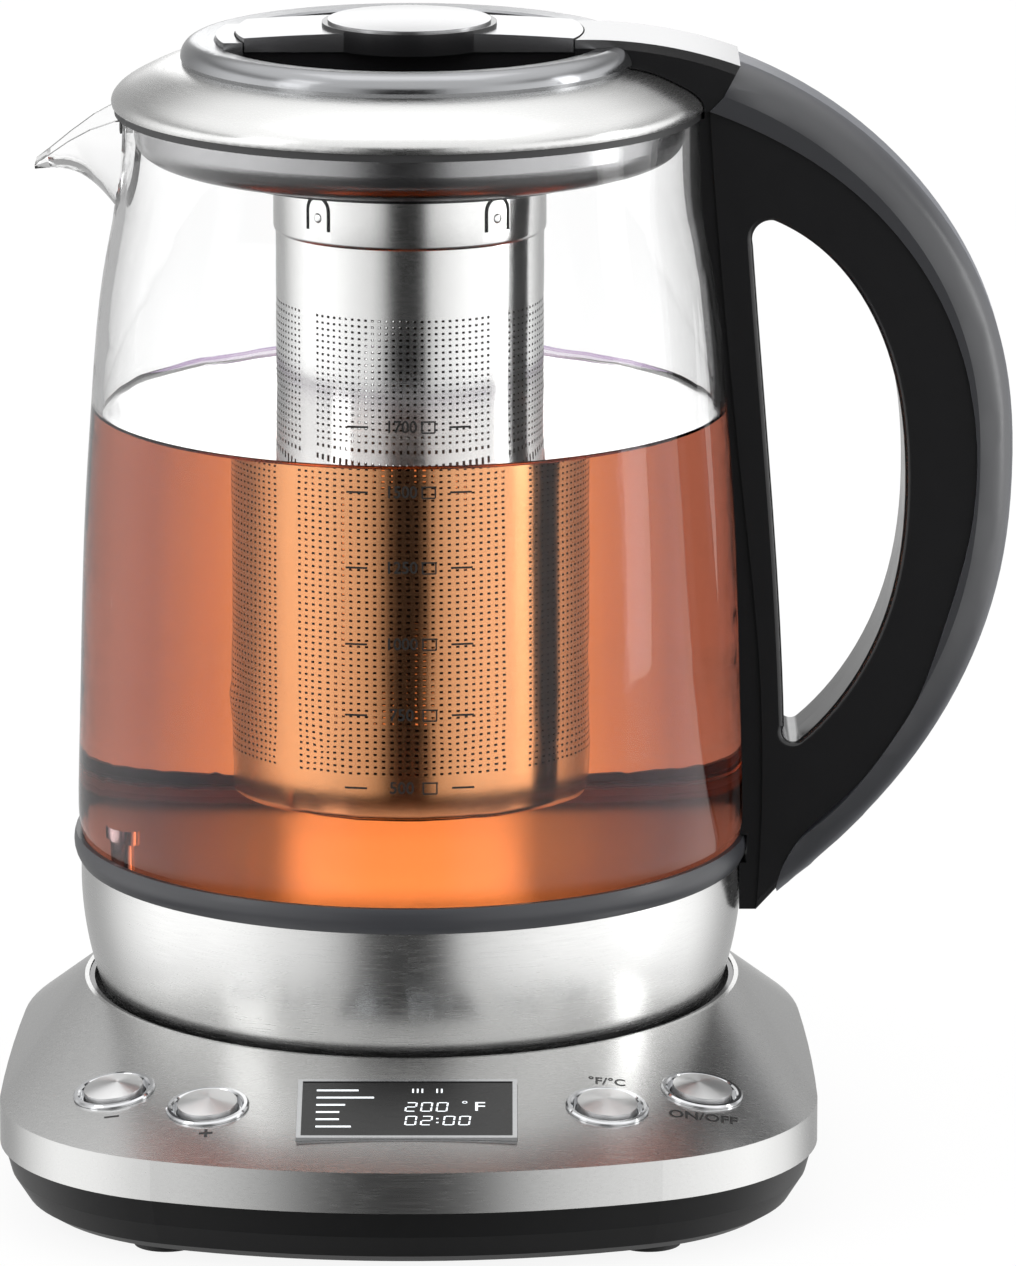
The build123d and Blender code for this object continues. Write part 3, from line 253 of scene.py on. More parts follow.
def teaFinish():
    # black tea: clear water that takes out blue and green along the light's way; its wall's colour carries painted
    # shade, darker and mauve where it turns away from the eye, and its surface mirrors at a flat angle
    material, tree, shader = newFinish("teaBrewed", "#ffffff", Roughness=0.0, IOR=1.33,
                                       Transmission_Weight=1.0, Specular_Tint=colour("#606060"))
    absorb = addNode(tree, "ShaderNodeVolumeAbsorption", {"Color": colour(brew["absorb"]),
                                                          "Density": brew["density"]})
    out = tree.nodes["Material Output"]
    tree.links.new(absorb.outputs[0], out.inputs["Volume"])
    # painted shade: the base colour darkens to mauve where the wall turns away from the eye
    facing = addNode(tree, "ShaderNodeLayerWeight", {"Blend": 0.5})
    dim = addNode(tree, "ShaderNodeValToRGB", {"Fac": facing.outputs["Facing"]},
                  [(position, colour(shade)) for position, shade in brew["shades"]])
    shape = addNode(tree, "ShaderNodeNewGeometry")
    split = addNode(tree, "ShaderNodeSeparateXYZ", {"Vector": shape.outputs["Normal"]})
    level = addNode(tree, "ShaderNodeMath", {0: split.outputs["Z"]}, operation="ABSOLUTE")
    surface = addNode(tree, "ShaderNodeMath", {0: level.outputs[0], 1: brew["level"]}, operation="GREATER_THAN")
    tint = addNode(tree, "ShaderNodeMix", {"Factor": surface.outputs[0], 6: dim.outputs[0], 7: colour("#ffffff")},
                   data_type="RGBA")
    tree.links.new(tint.outputs[2], shader.inputs["Base Color"])
    flat = addNode(tree, "ShaderNodeMapRange", {"Value": facing.outputs["Facing"], "From Min": brew["mirrorFrom"],
                                                "From Max": brew["mirrorTo"], "To Min": 0.0,
                                                "To Max": brew["mirror"]})
    share = addNode(tree, "ShaderNodeMath", {0: flat.outputs[0], 1: surface.outputs[0]}, operation="MULTIPLY")
    mirror = addNode(tree, "ShaderNodeBsdfGlossy", {"Color": colour("#ffffff"), "Roughness": 0.0})
    mixed = addNode(tree, "ShaderNodeMixShader", {0: share.outputs[0], 1: shader.outputs[0], 2: mirror.outputs[0]})
    tree.links.new(mixed.outputs[0], out.inputs["Surface"])
    return material


def litFinish():
    # the display's lit parts
    material, tree, shader = newFinish("displayLit", "#e9eef2", Roughness=0.4)
    shader.inputs["Emission Color"].default_value = colour("#e9eef2")
    shader.inputs["Emission Strength"].default_value = 0.75
    fineGrain(tree, shader, 1.0, 0.01)
    return material


litFigures = litFinish()
clearGlass = clearGlassFinish()
brewedTea = teaFinish()
print("materials made")


def finishPiece(name, bm, material, body, smoothAngle=35, centred=True, recalc=True):
    # closes the mesh, moves it to the kettle's axis and hangs it on its body
    bmesh.ops.remove_doubles(bm, verts=bm.verts, dist=0.002 * mm)
    if recalc:
        bmesh.ops.recalc_face_normals(bm, faces=bm.faces)
    if centred:
        bmesh.ops.translate(bm, verts=bm.verts, vec=axisAt)
    mesh = bpy.data.meshes.new(name)
    bm.to_mesh(mesh)
    bm.free()
    mesh.materials.append(material)
    for polygon in mesh.polygons:
        polygon.use_smooth = True
    mesh.set_sharp_from_angle(angle=math.radians(smoothAngle))
    piece = bpy.data.objects.new(name, mesh)
    scene.collection.objects.link(piece)
    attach(piece, body)
    return piece


def lathe(outline, steps, closed=True):
    # a profile of (radius, height) in mm, spun once round
    bm = bmesh.new()
    verts = [bm.verts.new((r * mm, 0, z * mm)) for r, z in outline]
    edges = [bm.edges.new(pair) for pair in zip(verts, verts[1:])]
    if closed:
        edges.append(bm.edges.new((verts[-1], verts[0])))
    bmesh.ops.spin(bm, geom=verts + edges, axis=(0, 0, 1), cent=(0, 0, 0), angle=math.tau, steps=steps,
                   use_merge=True)
    return bm


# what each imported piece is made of
finishes = {
    "base_top_cover": deckSteel, "base_bottom_housing": satinBlack, "well_liner": glossBlack,
    "rubber_feet": rubberBlack, "base_screws": screwSteel, "control_board": boardGreen,
    "display_frame": chromeTrim, "display_window": displayGlass, "display_module": partBlack,
    "buzzer": partBlack, "power_board": boardGreen, "power_relay": partBlack, "power_transformer": partBlack,
    "base_connector": satinBlack, "base_contact_ring": brassContact, "base_contact_pin": brassContact,
    "cord_gland": rubberBlack, "jug_connector": satinBlack, "jug_contact_ring": brassContact,
    "steel_cup": brushedCup, "jug_bottom_cover": satinBlack, "heating_plate": plateSteel,
    "heating_element": castAluminium, "temperature_probe": plateSteel, "glass_gasket": siliconeClear,
    "trim_ring": ringGrey, "glass_body": clearGlass, "collar_dome": brushedDome, "collar_insert": glossBlack,
    "collar_skirt": skirtSteel, "collar_seal": siliconeGrey, "spout_bridge": satinBlack, "rim_ring": rimSteel,
    "handle_screws": screwSteel, "handle_body": glossBlack, "handle_cover": slateGrip, "handle_spine": glossBlack,
    "handle_arm": glossBlack, "arm_plate": armMetal, "lid_stub": satinMetal, "lid_body": glossBlack,
    "lid_strap": satinMetal, "lid_disc": satinMetal, "lid_seal": siliconeGrey, "infuser_basket": drawnSteel,
    "infuser_collar": drawnSteel,
}
for number in range(1, 5):
    finishes[f"key_bezel_{number}"] = chromeTrim
    finishes[f"key_{number}"] = spunMetal
    finishes[f"key_switch_{number}"] = partBlack
for node, material in finishes.items():
    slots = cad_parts[node].data.materials
    slots.clear()
    slots.append(material)
missing = sorted(set(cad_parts) - set(finishes))
print("finishes set, left over:", missing)

tea = {
    "level": 164.3,
    "overlap": 0.15,          # into the glass, so that light passes from one to the other with no air between
    "meniscus": 1.2,
    # how the surface climbs the glass: distance from it, and share of the climb
    "curl": ((0.0, 1.0), (0.6, 0.35), (1.6, 0.1), (3.2, 0.0)),
    "middle": 40.0,
    "bottom": 64.4,           # just under the top of the heating plate
    "wall": ((70.4, 64.4), (70.9, 67.0), (71.8, 71.0), (72.0, 77.0), (71.9, 86.0), (71.5, 95.0), (70.7, 119.0),
             (69.8, 143.0), (68.9, 155.0), (68.45, 161.5)),
}


def teaBody():
    outline = [(0.0, tea["bottom"])] + [(r + tea["overlap"], z) for r, z in tea["wall"]]
    edge = outline[-1][0] - tea["overlap"]
    top = tea["level"]
    outline += [(edge - inward, top + share * tea["meniscus"]) for inward, share in tea["curl"]]
    outline += [(tea["middle"], top), (0.0, top)]
    finishPiece("tea", lathe(outline, 180, closed=False), brewedTea, "jug", 50)


teaBody()
print("tea poured")

infuser = {
    "radius": 29.7, "sheet": 0.5, "bottom": 79.0, "corner": 1.5, "top": 207.5,
    "cells": 120,                       # round the wall: four panels of 27 holes, with 3 plain cells between
    "panelCells": 27,
    "turn": -3.4 - 40.5,                # degrees from the front to the first panel's edge
    "holesFrom": 89.0, "holesTo": 190.0, "rows": 71,
    "hole": 0.64, "waist": 198.0,
}


def infuserBasket():
    r, low, corner = infuser["radius"], infuser["bottom"], infuser["corner"]
    pitch = (infuser["holesTo"] - infuser["holesFrom"]) / infuser["rows"]
    outline = [(0.0, low), (r - corner, low), (r - corner * 0.5, low + corner * 0.15),
               (r - corner * 0.15, low + corner * 0.5), (r, low + corner)]
    outline += [(r, infuser["holesFrom"] + pitch * row) for row in range(infuser["rows"] + 1)]
    outline += [(r, infuser["waist"]), (r, infuser["top"])]
    bm = lathe(outline, infuser["cells"], closed=False)
    bmesh.ops.remove_doubles(bm, verts=bm.verts, dist=0.002 * mm)
    bmesh.ops.recalc_face_normals(bm, faces=bm.faces)
    step = 360 / infuser["cells"]
    bmesh.ops.rotate(bm, verts=bm.verts, matrix=Matrix.Rotation(math.radians(infuser["turn"] - 90), 3, "Z"))
    cells = []
    for face in bm.faces:
        middle = face.calc_center_median()
        if not infuser["holesFrom"] * mm < middle.z < infuser["holesTo"] * mm:
            continue
        turn = (math.degrees(math.atan2(middle.x, -middle.y)) - infuser["turn"]) % 90
        if turn < infuser["panelCells"] * step:
            cells.append(face)
    width = 2 * r * math.sin(math.radians(step / 2))
    bmesh.ops.inset_individual(bm, faces=cells, thickness=(width - infuser["hole"]) / 2 * mm, use_even_offset=True)
    bmesh.ops.delete(bm, geom=cells, context="FACES")
    bmesh.ops.solidify(bm, geom=bm.faces[:], thickness=infuser["sheet"] * mm)
    piece = finishPiece("infuserBasket", bm, infuserSteel, "infuser", 40, recalc=False)
    piece.data.materials.append(paintedShadeSteel)
    # bright outside and below; painted shade (the dark steel) inside and in the holes
    for polygon in piece.data.polygons:
        out = (polygon.center - axisAt).to_2d()
        if out.length < (r - infuser["sheet"] * 0.5) * mm or polygon.normal.to_2d().dot(out.normalized()) < 0.5:
            polygon.material_index = 0 if polygon.normal.z < -0.5 else 1
    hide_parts("infuser_basket")


collar = {
    "radius": 30.2, "wall": 0.5, "low": 205.0,
    "tabAngles": (-41.0, 39.8, 139.0, -140.2), "tabWidth": 7.0, "tabHeight": 8.0, "slot": 0.95, "tabMiddle": 212.4,
    "dimple": 1.1, "dimpleUp": -1.2, "dimpleFlat": 0.3,
    "cutterDepth": 3.0, "cutterOut": 1.5,
}


def infuserCollar():
    # a plain ring with a rolled lower edge; four snap tabs are freed by slots cut round three of their sides
    r, wall, low = collar["radius"], collar["wall"], collar["low"]
    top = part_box("infuser_collar")[1].z / mm
    bm = lathe([(r, low + 0.9), (r, top), (r - wall, top), (r - wall, low), (r - 0.45, low),
                (r - 0.18, low + 0.3)], 180)
    bmesh.ops.remove_doubles(bm, verts=bm.verts, dist=0.002 * mm)
    bmesh.ops.recalc_face_normals(bm, faces=bm.faces)
    bmesh.ops.translate(bm, verts=bm.verts, vec=axisAt)
    mesh = bpy.data.meshes.new("infuserCollar")
    bm.to_mesh(mesh)
    bm.free()
    piece = bpy.data.objects.new("infuserCollar", mesh)
    scene.collection.objects.link(piece)

    cutterMesh = bpy.data.meshes.new("slots")
    bm = bmesh.new()
    half, slot = collar["tabWidth"] / 2, collar["slot"]
    for angle in collar["tabAngles"]:
        arch = collar["tabMiddle"] + collar["tabHeight"] / 2 - half
        first = [bm.verts.new((x * mm, 0, arch * mm)) for x in (half - slot, half)]
        edge = bm.edges.new(first)
        made = bmesh.ops.spin(bm, geom=[*first, edge], axis=(0, -1, 0), cent=(0, 0, arch * mm), angle=math.pi,
                              steps=12)
        last = [e for e in made["geom_last"] if isinstance(e, bmesh.types.BMEdge)]
        grown = bmesh.ops.extrude_edge_only(bm, edges=[edge, *last])["geom"]
        lower = [v for v in grown if isinstance(v, bmesh.types.BMVert)]
        bmesh.ops.translate(bm, verts=lower, vec=(0, 0, -(collar["tabHeight"] - half) * mm))
        shape = [f for f in bm.faces if abs(f.calc_center_median().y) < 1e-7]
        deep = bmesh.ops.extrude_face_region(bm, geom=shape)["geom"]
        bmesh.ops.translate(bm, verts=[v for v in deep if isinstance(v, bmesh.types.BMVert)],
                            vec=(0, collar["cutterDepth"] * mm, 0))
        # those not yet moved out
        done = [v for v in bm.verts if -0.001 * mm < v.co.y < (collar["cutterDepth"] + 0.001) * mm]
        bmesh.ops.translate(bm, verts=done, vec=(0, -(r + collar["cutterOut"]) * mm, 0))
        bmesh.ops.rotate(bm, verts=done, matrix=Matrix.Rotation(math.radians(angle), 3, "Z"))
    bmesh.ops.remove_doubles(bm, verts=bm.verts, dist=0.002 * mm)
    bmesh.ops.recalc_face_normals(bm, faces=bm.faces)
    bmesh.ops.translate(bm, verts=bm.verts, vec=axisAt)
    bm.to_mesh(cutterMesh)
    bm.free()
    cutter = bpy.data.objects.new("slots", cutterMesh)
    scene.collection.objects.link(cutter)
    cut = piece.modifiers.new("slots", "BOOLEAN")
    cut.object, cut.solver, cut.operation = cutter, "EXACT", "DIFFERENCE"
    bpy.context.view_layer.update()
    slotted = bpy.data.meshes.new_from_object(piece.evaluated_get(bpy.context.evaluated_depsgraph_get()))
    piece.modifiers.clear()
    piece.data = slotted
    bpy.data.objects.remove(cutter)
    slotted.materials.clear()
    slotted.materials.append(infuserSteel)
    for polygon in slotted.polygons:
        polygon.use_smooth = True
    slotted.set_sharp_from_angle(angle=math.radians(35))
    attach(piece, "infuser")
    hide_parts("infuser_collar")

    bm = bmesh.new()
    for angle in collar["tabAngles"]:
        bump = bmesh.ops.create_uvsphere(bm, u_segments=20, v_segments=12, radius=collar["dimple"] * mm)["verts"]
        bmesh.ops.scale(bm, verts=bump, vec=(1, collar["dimpleFlat"], 1))
        height = collar["tabMiddle"] + collar["dimpleUp"]
        bmesh.ops.translate(bm, verts=bump, vec=(0, -(r - 0.02) * mm, height * mm))
        bmesh.ops.rotate(bm, verts=bump, matrix=Matrix.Rotation(math.radians(angle), 3, "Z"))
    dimples = finishPiece("snapDimples", bm, infuserSteel, "infuser", 60)


def twoFinishes(node, name, body, first, second, chosen):
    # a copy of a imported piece, merged, with a second finish on the faces that are chosen
    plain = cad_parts[node].data.copy()
    plain.attributes.remove(plain.attributes["custom_normal"])
    bm = bmesh.new()
    bm.from_mesh(plain)
    bpy.data.meshes.remove(plain)
    piece = finishPiece(name, bm, first, body, 25, centred=False)
    piece.data.materials.append(second)
    top = max(v.co.z for v in piece.data.vertices)
    for polygon in piece.data.polygons:
        out = (polygon.center - axisAt).to_2d()
        across = polygon.normal.to_2d().dot(out.normalized()) if out.length > 0 else 0.0
        polygon.material_index = 1 if chosen(out.length / mm, polygon.center.z / mm, top / mm, across) else 0
    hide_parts(node)


strap = {
    "hub": 19.2, "hubSpread": 0.4,      # radius of the hub's side, and how far a face's middle lies from it
    "facing": 0.97,                     # how squarely a face of that side looks outward
}
# the strap is bright metal, and the hub that carries its disc is the plug's black plastic
twoFinishes("lid_strap", "lidStrap", "lid", satinMetal, glossBlack,
            lambda r, z, top, across: z > top - 0.05
            or (across > strap["facing"] and abs(r - strap["hub"]) < strap["hubSpread"]))
# the ring grips the rolled edge of the steel plate that the glass stands on
twoFinishes("trim_ring", "trimRing", "jug", ringGrey, plateSteel,
            lambda r, z, top, across: across < -0.5)
infuserBasket()
infuserCollar()
print("infuser perforated, its collar slotted")


def surfaceOf(node):
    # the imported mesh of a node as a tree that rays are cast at
    bm = bmesh.new()
    bm.from_mesh(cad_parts[node].data)
    tree = BVHTree.FromBMesh(bm)
    bm.free()
    return tree


def textShape(words, height, spread=1.0, bold=0.0):
    # letters as a flat mesh in millimetres, centred
    curve = bpy.data.curves.new("letters", "FONT")
    curve.body = words
    curve.size = 1.0
    curve.align_x, curve.align_y = "CENTER", "CENTER"
    curve.resolution_u = 3
    curve.offset = bold
    holder = bpy.data.objects.new("letters", curve)
    scene.collection.objects.link(holder)
    bpy.context.view_layer.update()
    mesh = bpy.data.meshes.new_from_object(holder)
    bm = bmesh.new()
    bm.from_mesh(mesh)
    bpy.data.objects.remove(holder)
    bpy.data.meshes.remove(mesh)
    bpy.data.curves.remove(curve)
    scale = height / 0.7                # a capital is 0.7 of the letters' size
    bmesh.ops.scale(bm, verts=bm.verts, vec=(scale * spread, scale, 1))
    return bm


def barShape(width, height):
    bm = bmesh.new()
    bmesh.ops.create_grid(bm, x_segments=1, y_segments=1, size=0.5)
    bmesh.ops.scale(bm, verts=bm.verts, vec=(width, height, 1))
    return bm


def segmentDigit(digit, height):
    # a seven-part display figure, leaning a little
    lit = {"0": "abcdef", "2": "abged"}[digit]
    w, t = height * 0.5, height * 0.085
    half = height / 2
    at = {"a": (0, half - t / 2, 0), "g": (0, 0, 0), "d": (0, -half + t / 2, 0), "f": (-w / 2, half / 2, 1),
          "b": (w / 2, half / 2, 1), "e": (-w / 2, -half / 2, 1), "c": (w / 2, -half / 2, 1)}
    bm = bmesh.new()
    for part in lit:
        x, y, upright = at[part]
        made = bmesh.ops.create_grid(bm, x_segments=1, y_segments=1, size=0.5)["verts"]
        size = (t, half - 1.3 * t, 1) if upright else (w - 1.0 * t, t, 1)
        bmesh.ops.scale(bm, verts=made, vec=size)
        bmesh.ops.translate(bm, verts=made, vec=(x, y, 0))
    for v in bm.verts:
        v.co.x += 0.08 * v.co.y
    return bm


def joinShapes(parts):
    # several flat shapes, each at its own place in millimetres, as one
    whole = bmesh.new()
    for shape, x, y in parts:
        bmesh.ops.translate(shape, verts=shape.verts, vec=(x, y, 0))
        mesh = bpy.data.meshes.new("part")
        shape.to_mesh(mesh)
        shape.free()
        whole.from_mesh(mesh)
        bpy.data.meshes.remove(mesh)
    return whole


def cutSmall(bm, step):
    # cuts the flat shape by parallel planes, so that it follows a curved surface
    for normal, axis in (((1, 0, 0), 0), ((0, 1, 0), 1)):
        reach = [v.co[axis] for v in bm.verts]
        count = int((max(reach) - min(reach)) / step)
        for i in range(1, count + 1):
            place = [0, 0, 0]
            place[axis] = min(reach) + i * (max(reach) - min(reach)) / (count + 1)
            bmesh.ops.bisect_plane(bm, geom=[*bm.verts, *bm.edges, *bm.faces], plane_co=place, plane_no=normal,
                                   dist=1e-5)
    return bm


# where a mark drops from and how far, in metres, and how far it then stands off the surface, in mm
printing = {"above": 0.01, "reach": 0.03, "lift": 0.04}


def printOn(name, bm, surface, matrix, towards, material, body):
    # lays the flat shape on a surface: it is placed by the matrix, then every point is dropped on the surface
    bmesh.ops.scale(bm, verts=bm.verts, vec=(mm, mm, mm))
    bmesh.ops.transform(bm, matrix=matrix, verts=bm.verts)
    for v in bm.verts:
        aim = towards(v.co) if callable(towards) else towards
        hit, normal, _, _ = surface.ray_cast(v.co - aim * printing["above"], aim, printing["reach"])
        if hit is not None:
            if normal.dot(aim) > 0:
                normal = -normal
            v.co = hit + normal * printing["lift"] * mm
    mesh = bpy.data.meshes.new(name)
    bm.to_mesh(mesh)
    bm.free()
    mesh.materials.append(material)
    piece = bpy.data.objects.new(name, mesh)
    scene.collection.objects.link(piece)
    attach(piece, body)


scaleMarks = {
    "figures": (("1700", 174.2), ("1500", 160.1), ("1250", 143.7), ("1000", 127.0), ("750", 111.4), ("500", 95.3)),
    "height": 2.6, "figuresAt": -1.3, "tick": 5.0, "tickLine": 0.45, "tickAt": (-11.5, 12.4),
    # the little cup beside each figure: width, height and middle of its four strokes
    "cup": ((3.0, 0.35, 5.0, -1.2), (3.6, 0.35, 5.0, 1.2), (0.35, 2.4, 3.5, 0), (0.35, 2.4, 6.5, 0)),
    "wrap": 74.0, "from": 76.0,         # the print is bent to this radius, and laid on the glass from this one
    "bold": 0.015, "cut": 1.2,          # mm between the cuts that let the print bend
}


def jugScale():
    # the litre scale: printed in black on the outside of the glass, figures with a dash at each side
    parts = []
    for words, z in scaleMarks["figures"]:
        parts.append((textShape(words, scaleMarks["height"], bold=scaleMarks["bold"]), scaleMarks["figuresAt"], z))
        for x in scaleMarks["tickAt"]:
            parts.append((barShape(scaleMarks["tick"], scaleMarks["tickLine"]), x, z))
        for w, h, x, y in scaleMarks["cup"]:
            parts.append((barShape(w, h), x, z + y))
    bm = cutSmall(joinShapes(parts), scaleMarks["cut"])
    start = axisAt + Vector((0, -scaleMarks["from"] * mm, 0))
    front = Matrix.Translation(start) @ Matrix.Rotation(math.pi / 2, 4, "X")
    radius = scaleMarks["wrap"]
    for v in bm.verts:
        angle = v.co.x / radius
        v.co.x, v.co.z = radius * math.sin(angle), -radius * (1 - math.cos(angle))
    printOn("jugScale", bm, surfaceOf("glass_body"), front,
            lambda co: (Vector((axisAt.x, axisAt.y, co.z)) - co).normalized(), printBlack, "jug")


def deckPlane(node):
    # the middle and the tilt of a node's upper face
    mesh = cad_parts[node].data
    middle, normal, area = Vector(), Vector(), 0.0
    for polygon in mesh.polygons:
        if polygon.normal.z > 0.9:
            middle += polygon.center * polygon.area
            normal += polygon.normal * polygon.area
            area += polygon.area
    middle /= area
    normal.normalize()
    side = Vector((1, 0, 0))
    up = normal.cross(side).normalized()
    return Matrix(((side.x, up.x, normal.x, middle.x), (side.y, up.y, normal.y, middle.y),
                   (side.z, up.z, normal.z, middle.z), (0, 0, 0, 1)))


display = {
    "digits": 4.3, "digitStep": 3.35, "rightEdge": 19.6, "lineUp": 0.9, "lineDown": -5.4,
    "digitsFrom": 5.6, "unitAt": 1.2, "degreeAt": 2.15, "dotsAt": 3.9,      # steps in from the right edge
    "degree": 3.0, "degreeUp": 0.9, "unitShare": 0.95, "dot": 0.5, "dotsUp": (0.9, -0.9), "hourGap": 0.45,
    "list": (9.0, 12.4, 6.2, 5.0, 5.0, 7.6), "listLeft": -19.6, "listTop": 8.6, "listStep": 3.35, "listBar": 0.75,
    "signs": (1.2, 2.2, 3.2, 6.4, 7.4), "sign": (0.35, 1.9), "signsDown": 0.2,
}


def displayFigures():
    # what the lit display shows: a temperature, a time, and plain bars for the list of settings
    size, step = display["digits"], display["digitStep"]
    right, upper, lower = display["rightEdge"], display["lineUp"], display["lineDown"]
    left = right - display["digitsFrom"] * step
    parts = []
    for i, digit in enumerate("200"):
        parts.append((segmentDigit(digit, size), left + i * step, upper))
    parts.append((textShape("\u00b0", display["degree"]), right - display["degreeAt"] * step,
                  upper + display["degreeUp"]))
    parts.append((textShape("F", size * display["unitShare"]), right - display["unitAt"] * step, upper))
    for i, digit in enumerate("0200"):
        gap = display["hourGap"] * step if i > 1 else 0
        parts.append((segmentDigit(digit, size), left + i * step + gap, lower))
    for y in display["dotsUp"]:
        parts.append((barShape(display["dot"], display["dot"]), right - display["dotsAt"] * step, lower + y))
    for i, width in enumerate(display["list"]):
        parts.append((barShape(width, display["listBar"]), display["listLeft"] + width / 2,
                      display["listTop"] - i * display["listStep"]))
    for x in display["signs"]:
        parts.append((barShape(*display["sign"]), x, display["listTop"] - display["signsDown"]))
    printOn("displayFigures", joinShapes(parts), surfaceOf("display_window"), deckPlane("display_window"),
            Vector((0, 0, -1)), litFigures, "base")


# a plain sign near each key: words, place from the key's middle, height
legends = {
    "key_1": (("\u2013", 0.0, -12.6, 5.0),),
    "key_2": (("+", 0.0, -12.6, 5.0),),
    "key_3": (("\u00b0F/\u00b0C", 0.0, 12.8, 3.2),),
    "key_4": (("ON/OFF", 0.0, -13.2, 3.6),),
}
legendLetters = {"spread": 0.8, "bold": 0.02, "cut": 2.5}


def keyLegends():
    deck = surfaceOf("base_top_cover")
    for node, marks in legends.items():
        parts = [(textShape(words, size, legendLetters["spread"], legendLetters["bold"]), x, y)
                 for words, x, y, size in marks]
        printOn(node.replace("key_", "legend"), cutSmall(joinShapes(parts), legendLetters["cut"]), deck,
                deckPlane(node), Vector((0, 0, -1)), printBlack, "base")


jugScale()
displayFigures()
keyLegends()
print("scale, display and key marks printed")

backdrop = {"radius": 12.0, "sides": 96, "below": 0.0002, "whiteness": 0.9}     # metres; share of plain white
floorMesh = bpy.data.meshes.new("floor")
bm = bmesh.new()
bmesh.ops.create_circle(bm, cap_ends=True, radius=backdrop["radius"], segments=backdrop["sides"])
bm.to_mesh(floorMesh)
bm.free()
floor = bpy.data.objects.new("floor", floorMesh)
floor.location = (0, 0, -backdrop["below"])
scene.collection.objects.link(floor)
floorPaper, tree, shader = newFinish("paperBackdrop", "#f4f4f3", Roughness=0.9)
path = addNode(tree, "ShaderNodeLightPath")
plain = addNode(tree, "ShaderNodeMath", {0: path.outputs["Is Camera Ray"], 1: path.outputs["Is Transmission Ray"]},
                operation="MAXIMUM")
share = addNode(tree, "ShaderNodeMath", {0: plain.outputs[0], 1: backdrop["whiteness"]}, operation="MULTIPLY")
white = addNode(tree, "ShaderNodeEmission", {"Color": colour("#ffffff"), "Strength": 1.0})
mixed = addNode(tree, "ShaderNodeMixShader", {0: share.outputs[0], 1: shader.outputs[0], 2: white.outputs[0]})
# polished metal sees the studio all round, also below its own level
seeThrough = addNode(tree, "ShaderNodeBsdfTransparent")
seen = addNode(tree, "ShaderNodeMixShader", {0: path.outputs["Is Glossy Ray"], 1: mixed.outputs[0],
                                             2: seeThrough.outputs[0]})
tree.links.new(seen.outputs[0], tree.nodes["Material Output"].inputs["Surface"])
floorMesh.materials.append(floorPaper)
floor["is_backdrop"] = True

studio = {
    # brightness round the object at its own height: degrees from the front, towards the handle's side
    "round": ((-180, 0.9), (-172, 0.6), (-160, 0.48), (-145, 0.48), (-135, 0.6), (-118, 1.1), (-98, 1.6), (-72, 1.55),
              (-48, 1.2), (-32, 1.0), (-23, 0.65), (-15, 0.14), (-8, 0.03), (5, 0.03), (11, 0.14), (19, 0.85),
              (28, 1.1), (48, 1.45), (92, 1.75), (118, 1.4), (138, 0.7), (150, 0.48), (168, 0.5), (180, 0.9)),
    # brightness above it: sine of the height angle
    "above": ((0.2, 0.42), (0.33, 0.4), (0.46, 0.46), (0.58, 0.95), (0.67, 1.35), (0.9, 1.5), (1.0, 1.5)),
    "frontPanel": 1.25,                 # above the eye, seen in the collar's bright ring
    # brightness below it, by the same degrees
    "below": ((-180, 0.35), (-128, 0.35), (-100, 0.2), (-40, 0.1), (0, 0.02), (40, 0.1), (100, 0.2), (128, 0.35),
              (180, 0.35)),
    "backPanel": 1.9,                   # a lit screen behind, seen in flat upward faces
    # where one part of the studio fades into the next: from, to
    "upper": (0.24, 0.42), "lower": (-0.35, -0.6), "ahead": (-0.3, -0.8),
    "panelSide": (0.978, 0.992), "panelFoot": (0.05, 0.1), "panelHead": (0.38, 0.3),
}
world = bpy.data.worlds.new("studio")
scene.world = world
world.use_nodes = True
tree = world.node_tree
tree.nodes.clear()


def grey(bright):
    return (bright, bright, bright, 1.0)


place = addNode(tree, "ShaderNodeTexCoord")
split = addNode(tree, "ShaderNodeSeparateXYZ", {"Vector": place.outputs["Generated"]})
back = addNode(tree, "ShaderNodeMath", {0: split.outputs["Y"], 1: -1.0}, operation="MULTIPLY")
turn = addNode(tree, "ShaderNodeMath", {0: split.outputs["X"], 1: back.outputs[0]}, operation="ARCTAN2")
share = addNode(tree, "ShaderNodeMapRange", {"Value": turn.outputs[0], "From Min": -math.pi, "From Max": math.pi})
flat = addNode(tree, "ShaderNodeCombineXYZ", {"X": split.outputs["X"], "Y": split.outputs["Y"]})
reach = addNode(tree, "ShaderNodeVectorMath", {0: flat.outputs[0]}, operation="LENGTH")
rear = addNode(tree, "ShaderNodeMath", {0: split.outputs["Y"], 1: reach.outputs["Value"]}, operation="DIVIDE")
ramps = {}
for name, value in (("round", share.outputs[0]), ("below", share.outputs[0]), ("above", split.outputs["Z"])):
    stops = [(at if name == "above" else at / 360 + 0.5, grey(bright)) for at, bright in studio[name]]
    ramps[name] = addNode(tree, "ShaderNodeValToRGB", {"Fac": value}, stops).outputs[0]
fades = {}
for name, value in (("upper", split.outputs["Z"]), ("lower", split.outputs["Z"]), ("ahead", rear.outputs[0]),
                    ("panelSide", rear.outputs[0]), ("panelFoot", split.outputs["Z"]),
                    ("panelHead", split.outputs["Z"])):
    start, end = studio[name]
    fades[name] = addNode(tree, "ShaderNodeMapRange", {"Value": value, "From Min": start, "From Max": end},
                          interpolation_type="SMOOTHSTEP").outputs[0]
high = addNode(tree, "ShaderNodeMix", {"Factor": fades["ahead"], 6: ramps["above"], 7: grey(studio["frontPanel"])},
               data_type="RGBA")
above = addNode(tree, "ShaderNodeMix", {"Factor": fades["upper"], 6: ramps["round"], 7: high.outputs[2]},
                data_type="RGBA")
wholeRound = addNode(tree, "ShaderNodeMix", {"Factor": fades["lower"], 6: above.outputs[2], 7: ramps["below"]},
                     data_type="RGBA")
upright = addNode(tree, "ShaderNodeMath", {0: fades["panelFoot"], 1: fades["panelHead"]}, operation="MULTIPLY")
